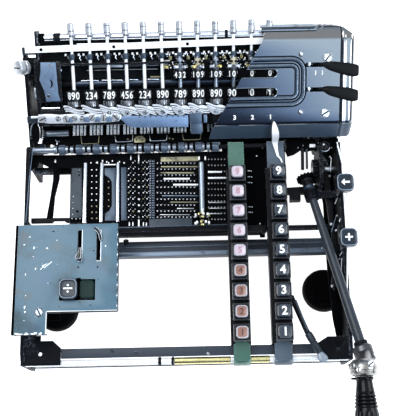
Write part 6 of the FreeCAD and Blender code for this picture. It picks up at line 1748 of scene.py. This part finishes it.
lathe(p, "barrel", [(0, 194.4), (8.6, 194.4), (9.3, 195.2), (9.4, 196.0), (9.4, 204.0), (8.8, 204.8), (8.8, 206.0), (9.4, 206.8), (9.4, 208.4), (8.8, 209.0), (0, 209.0)], A, 44, flute=(28, 0.35, 197.0, 203.0))
p.done("crank", ["crank"], angle=35)

p = Piece("crank_boss")
BOSS = Vector((142.6, -164.0, 131.0))
A = frame_to(tuple(BOSS), (0, -1, 0))
# the arm that rises from the hub to the boss
hub = OC + DV * 203.0
rings, mats = [], []
link = BOSS - hub
for k in range(9):
    t = k / 8.0
    c = hub + link * t + Vector((0, 0, 0.8 * math.sin(math.pi * t)))
    w, d = 6.2 + 0.6 * math.cos(math.pi * t), 7.2 - 0.9 * math.sin(math.pi * t)
    lz = link.normalized()
    ly = lz.cross(DV).normalized()
    lx = ly.cross(lz)
    rings.append([c + lx * (w * math.copysign(abs(math.cos(a)) ** 0.6, math.cos(a))) + ly * (d * math.copysign(abs(math.sin(a)) ** 0.6, math.sin(a))) for a in [2 * math.pi * q / 20 for q in range(20)]])
loft(p, "barrel", rings)
lathe(p, "boss", [(0, -7.0), (8.2, -7.0), (9.6, -6.2), (11.4, -4.0), (12.3, -1.6), (12.6, 0.0), (12.6, 2.6), (11.9, 3.2), (11.9, 3.9), (12.3, 4.4), (12.2, 6.2), (10.6, 7.6), (8.6, 8.0), (0, 8.0)], A, 16)
screw(p, 0, 0, 0, 3.0, 1.5, 35, "stud", M=frame_to((146.8, -162.0, 142.4), (0.32, 0.05, 0.94)))
screw(p, 0, 0, 0, 2.2, 1.2, 80, "nickel", M=frame_to((136.6, -166.8, 141.6), (-0.45, -0.05, 0.88)))
bbox(p, "boss", (-3.4, -2.4, -2.0), (3.4, 2.4, 2.2), 0.7, M=frame_to((131.8, -163.4, 137.8), (-0.82, 0, 0.57)))
p.done("crank", (), angle=28)

p = Piece("crank_grip_turned")
A = frame_to((BOSS.x, -172.0, BOSS.z), (0, -1, 0))
prof = [(0, 0.6), (8.2, 0.6), (8.5, 0.9), (8.5, 2.4), (8.2, 2.8), (7.4, 3.2), (7.3, 5.0), (7.6, 8.0), (8.2, 12.0), (8.7, 15.0)]
for k in range(4):
    t = 16.0 + 3.1 * k
    r = 9.0 + 0.36 * k
    prof += [(r - 0.55, t - 0.55), (r + 0.15, t), (r + 0.25, t + 0.8), (r + 0.15, t + 1.6), (r - 0.55, t + 2.1)]
prof += [(10.1, 29.5), (10.5, 32.0), (10.8, 36.0), (10.7, 39.0), (10.2, 41.8), (8.6, 44.0), (6.0, 45.2), (0, 45.4)]
lathe(p, "grip", prof, A, 48, flute=(9, 0.5, 29.0, 42.5))
bbox(p, "grip", (-11.6, -2.2, 0.8), (-7.0, 2.2, 2.7), 0.5, A)
screw(p, 0, 0, 44.7, 2.6, 0.6, 10, "dark", M=A)
p.done("crank_grip", ["crank_grip"], angle=40)

# ------------------------------------------------------------------ shift lever
p = Piece("shift_lever_bar")
SA, SB, SC = Vector((*at(294.6, 300.5, 74.0), 74.0)), Vector((*at(307.0, 331.5, 74.6), 74.6)), Vector((*at(327.0, 364.6, 75.2), 75.2))
lathe(p, "dark", [(0, -3.0), (1.7, -3.0), (1.9, -2.7), (1.9, 2.7), (1.7, 3.0), (0, 3.0)], T(89.2, -89.0, 72.5), 24)
rod(p, "dark", tuple(SA + Vector((-2.4, 2.2, -0.4))), tuple(SB + (SB - SA).normalized() * 1.0), 2.6, 20)
d2 = (SC - SB).normalized()
rod(p, "dark", tuple(SB - d2 * 0.5), tuple(SB + d2 * 3.0), 2.7, 20)
# blued strip along the top of the dark rod: painted highlight
rod(p, "blued", tuple(SA + Vector((0.6, 0.2, 1.9))), tuple(SB + Vector((0.6, 0.2, 1.9))), 1.0, 12)
lathe(p, "grille", [(0, 0), (3.2, 0), (3.6, 0.5), (3.7, 5.0), (3.6, 9.0), (3.6, 9.3), (3.1, 9.6), (3.1, 10.2), (3.6, 10.5), (3.5, 20.5), (3.0, 21.5), (0, 21.5)], frame_to(tuple(SB + d2 * 2.0), tuple(d2)), 28)
rings = []
sx = d2.cross(Vector((0, 0, 1))).normalized()
for t, w, h in ((21.0, 2.0, 1.6), (23.5, 2.8, 1.6), (26.0, 4.0, 1.5), (28.5, 4.6, 1.4), (30.8, 4.6, 1.3), (32.4, 3.8, 1.1), (33.6, 1.8, 0.7)):
    c = SB + d2 * t
    rings.append([c + sx * (w * math.cos(a)) + Vector((0, 0, h * math.sin(a))) for a in [2 * math.pi * q / 18 for q in range(18)]])
loft(p, "collar", rings)
p.done("shift_lever", ["shift_lever"], angle=40)

# ------------------------------------------------------------------ rubber feet
p = Piece("rubber_feet_moulded")
P_LEFT, P_RIGHT = -178.00, 118.00
for x, y in ((-155, -85), (131, -70), (-155, 125), (131, 125)):
    lathe(p, "rubber", [(0, 0), (21.6, 0), (22.6, 0.8), (22.8, 2.0), (22.4, 8.0), (21.6, 11.6), (19.8, 13.4), (17.5, 13.9), (0, 14.0)], T(x, y, 0), 56)
    fx_ = P_LEFT if x < 0 else P_RIGHT
    bbox(p, "void", (fx_ - 0.2, (y if y < 0 else 125) - 13.3, 16.85), (fx_ + 28.2, (y if y < 0 else 125) + 13.3, 17.2))
p.done("root", ["rubber_feet"], angle=40)


# ------------------------------------------------------------------ stage, light, camera
def stage_and_light():
    fm = Nt("floor_white")
    fm.set("Base Color", fm.mix(fm.noise(3, 2), (0.90, 0.90, 0.90), (0.88, 0.88, 0.885)))
    fm.set("Roughness", 0.9)
    fm.b.inputs["Emission Color"].default_value = (1, 1, 1, 1)
    fm.b.inputs["Emission Strength"].default_value = 0.95
    bm = bmesh.new()
    bmesh.ops.create_grid(bm, x_segments=2, y_segments=2, size=14.0)
    me = bpy.data.meshes.new("floor")
    bm.to_mesh(me)
    bm.free()
    me.materials.append(fm.m)
    o = bpy.data.objects.new("floor", me)
    o.location.z = -0.0006
    bpy.context.scene.collection.objects.link(o)

    w = bpy.data.worlds.new("studio")
    bpy.context.scene.world = w
    w.use_nodes = True
    t = w.node_tree
    bg = t.nodes["Background"]
    tc = t.nodes.new("ShaderNodeTexCoord")
    sep = t.nodes.new("ShaderNodeSeparateXYZ")
    t.links.new(tc.outputs["Generated"], sep.inputs[0])
    rp = t.nodes.new("ShaderNodeValToRGB")
    e = rp.color_ramp.elements
    stops = [(0.0, (0.22, 0.25, 0.30)), (0.16, (0.05, 0.065, 0.09)), (0.34, (0.30, 0.37, 0.48)), (0.52, (0.62, 0.74, 0.93)), (0.75, (0.86, 0.93, 1.0)), (1.0, (0.93, 0.97, 1.0))]
    while len(e) < len(stops):
        e.new(0.5)
    for el, (p, c) in zip(e, stops):
        el.position = p
        el.color = (*c, 1)
    t.links.new(sep.outputs["Z"], rp.inputs["Fac"])
    # the front of the room is dark; a pale window stands in it to the right
    def along(axis, offset, stops_):
        d = t.nodes.new("ShaderNodeVectorMath")
        d.operation = "DOT_PRODUCT"
        t.links.new(tc.outputs["Generated"], d.inputs[0])
        d.inputs[1].default_value = axis
        a = t.nodes.new("ShaderNodeMath")
        a.operation = "ADD"
        t.links.new(d.outputs["Value"], a.inputs[0])
        a.inputs[1].default_value = offset
        r = t.nodes.new("ShaderNodeValToRGB")
        el_ = r.color_ramp.elements
        while len(el_) < len(stops_):
            el_.new(0.5)
        for q, (p_, c_) in zip(el_, stops_):
            q.position = p_
            q.color = (*c_, 1)
        t.links.new(a.outputs[0], r.inputs["Fac"])
        return r.outputs["Color"]

    # from lower left to upper right across the cover's reflection, squeezed to 0..1 over h = -0.2..1.3
    grad = along((4.88 / 1.5, 2.80 / 1.5, 1.60 / 1.5), (0.52 + 0.2) / 1.5,
                 [(0.0, (0.006, 0.010, 0.018)), (0.24, (0.014, 0.024, 0.042)), (0.38, (0.10, 0.155, 0.27)), (0.52, (0.28, 0.40, 0.61)), (0.80, (0.74, 0.88, 1.0))])
    amp = t.nodes.new("ShaderNodeVectorMath")
    amp.operation = "SCALE"
    t.links.new(grad, amp.inputs[0])
    amp.inputs["Scale"].default_value = 2.6
    grad = amp.outputs[0]
    cone = along((0.0, -0.90, 0.44), 0.0, [(0.0, (0, 0, 0)), (0.66, (0, 0, 0)), (0.82, (1, 1, 1))])
    sel = t.nodes.new("ShaderNodeMix")
    sel.data_type = "RGBA"
    t.links.new(cone, sel.inputs[0])
    sel.inputs[6].default_value = (1, 1, 1, 1)
    t.links.new(grad, sel.inputs[7])
    mx = t.nodes.new("ShaderNodeMix")
    mx.data_type = "RGBA"
    mx.blend_type = "MULTIPLY"
    mx.inputs[0].default_value = 1.0
    t.links.new(rp.outputs["Color"], mx.inputs[6])
    t.links.new(sel.outputs[2], mx.inputs[7])
    t.links.new(mx.outputs[2], bg.inputs["Color"])
    bg.inputs["Strength"].default_value = 1.05

    def area(name, loc, target, size, power, col=(1, 1, 1), size_y=None):
        l = bpy.data.lights.new(name, "AREA")
        l.shape = "RECTANGLE"
        l.size = size
        l.size_y = size_y or size
        l.energy = power
        l.color = col
        ob = bpy.data.objects.new(name, l)
        ob.location = loc
        ob.rotation_euler = (Vector(target) - Vector(loc)).to_track_quat("-Z", "Y").to_euler()
        bpy.context.scene.collection.objects.link(ob)
        return ob

    area("key_softbox", (-0.55, 0.35, 1.35), (0, 0, 0.05), 0.9, 16, (0.97, 0.985, 1.0))
    area("front_softbox", (0.95, -0.80, 1.25), (0.06, 0.05, 0.08), 0.5, 9, (0.90, 0.95, 1.0), 0.35)
    area("side_softbox", (1.15, 0.1, 0.85), (0, 0, 0.05), 0.4, 6, (0.95, 0.98, 1.0), 0.9)

    cam = bpy.data.cameras.new("camera")
    cam.sensor_width = 36.0
    cam.lens = 800.0 / 416.0 * 36.0
    cam.clip_start = 0.05
    cam.clip_end = 20
    co = bpy.data.objects.new("camera", cam)
    co.rotation_mode = "QUATERNION"
    co.location = (0.0114815, -0.2115635, 0.8558)
    rot = Matrix.Rotation(math.radians(16.8), 3, "X") @ Matrix.Rotation(math.radians(-1.2), 3, "Z")
    co.rotation_quaternion = rot.to_quaternion()
    bpy.context.scene.collection.objects.link(co)
    bpy.context.scene.camera = co
    vs = bpy.context.scene.view_settings
    vs.view_transform = "Standard"
    vs.look = "None"
    vs.exposure = 0.0


stage_and_light()
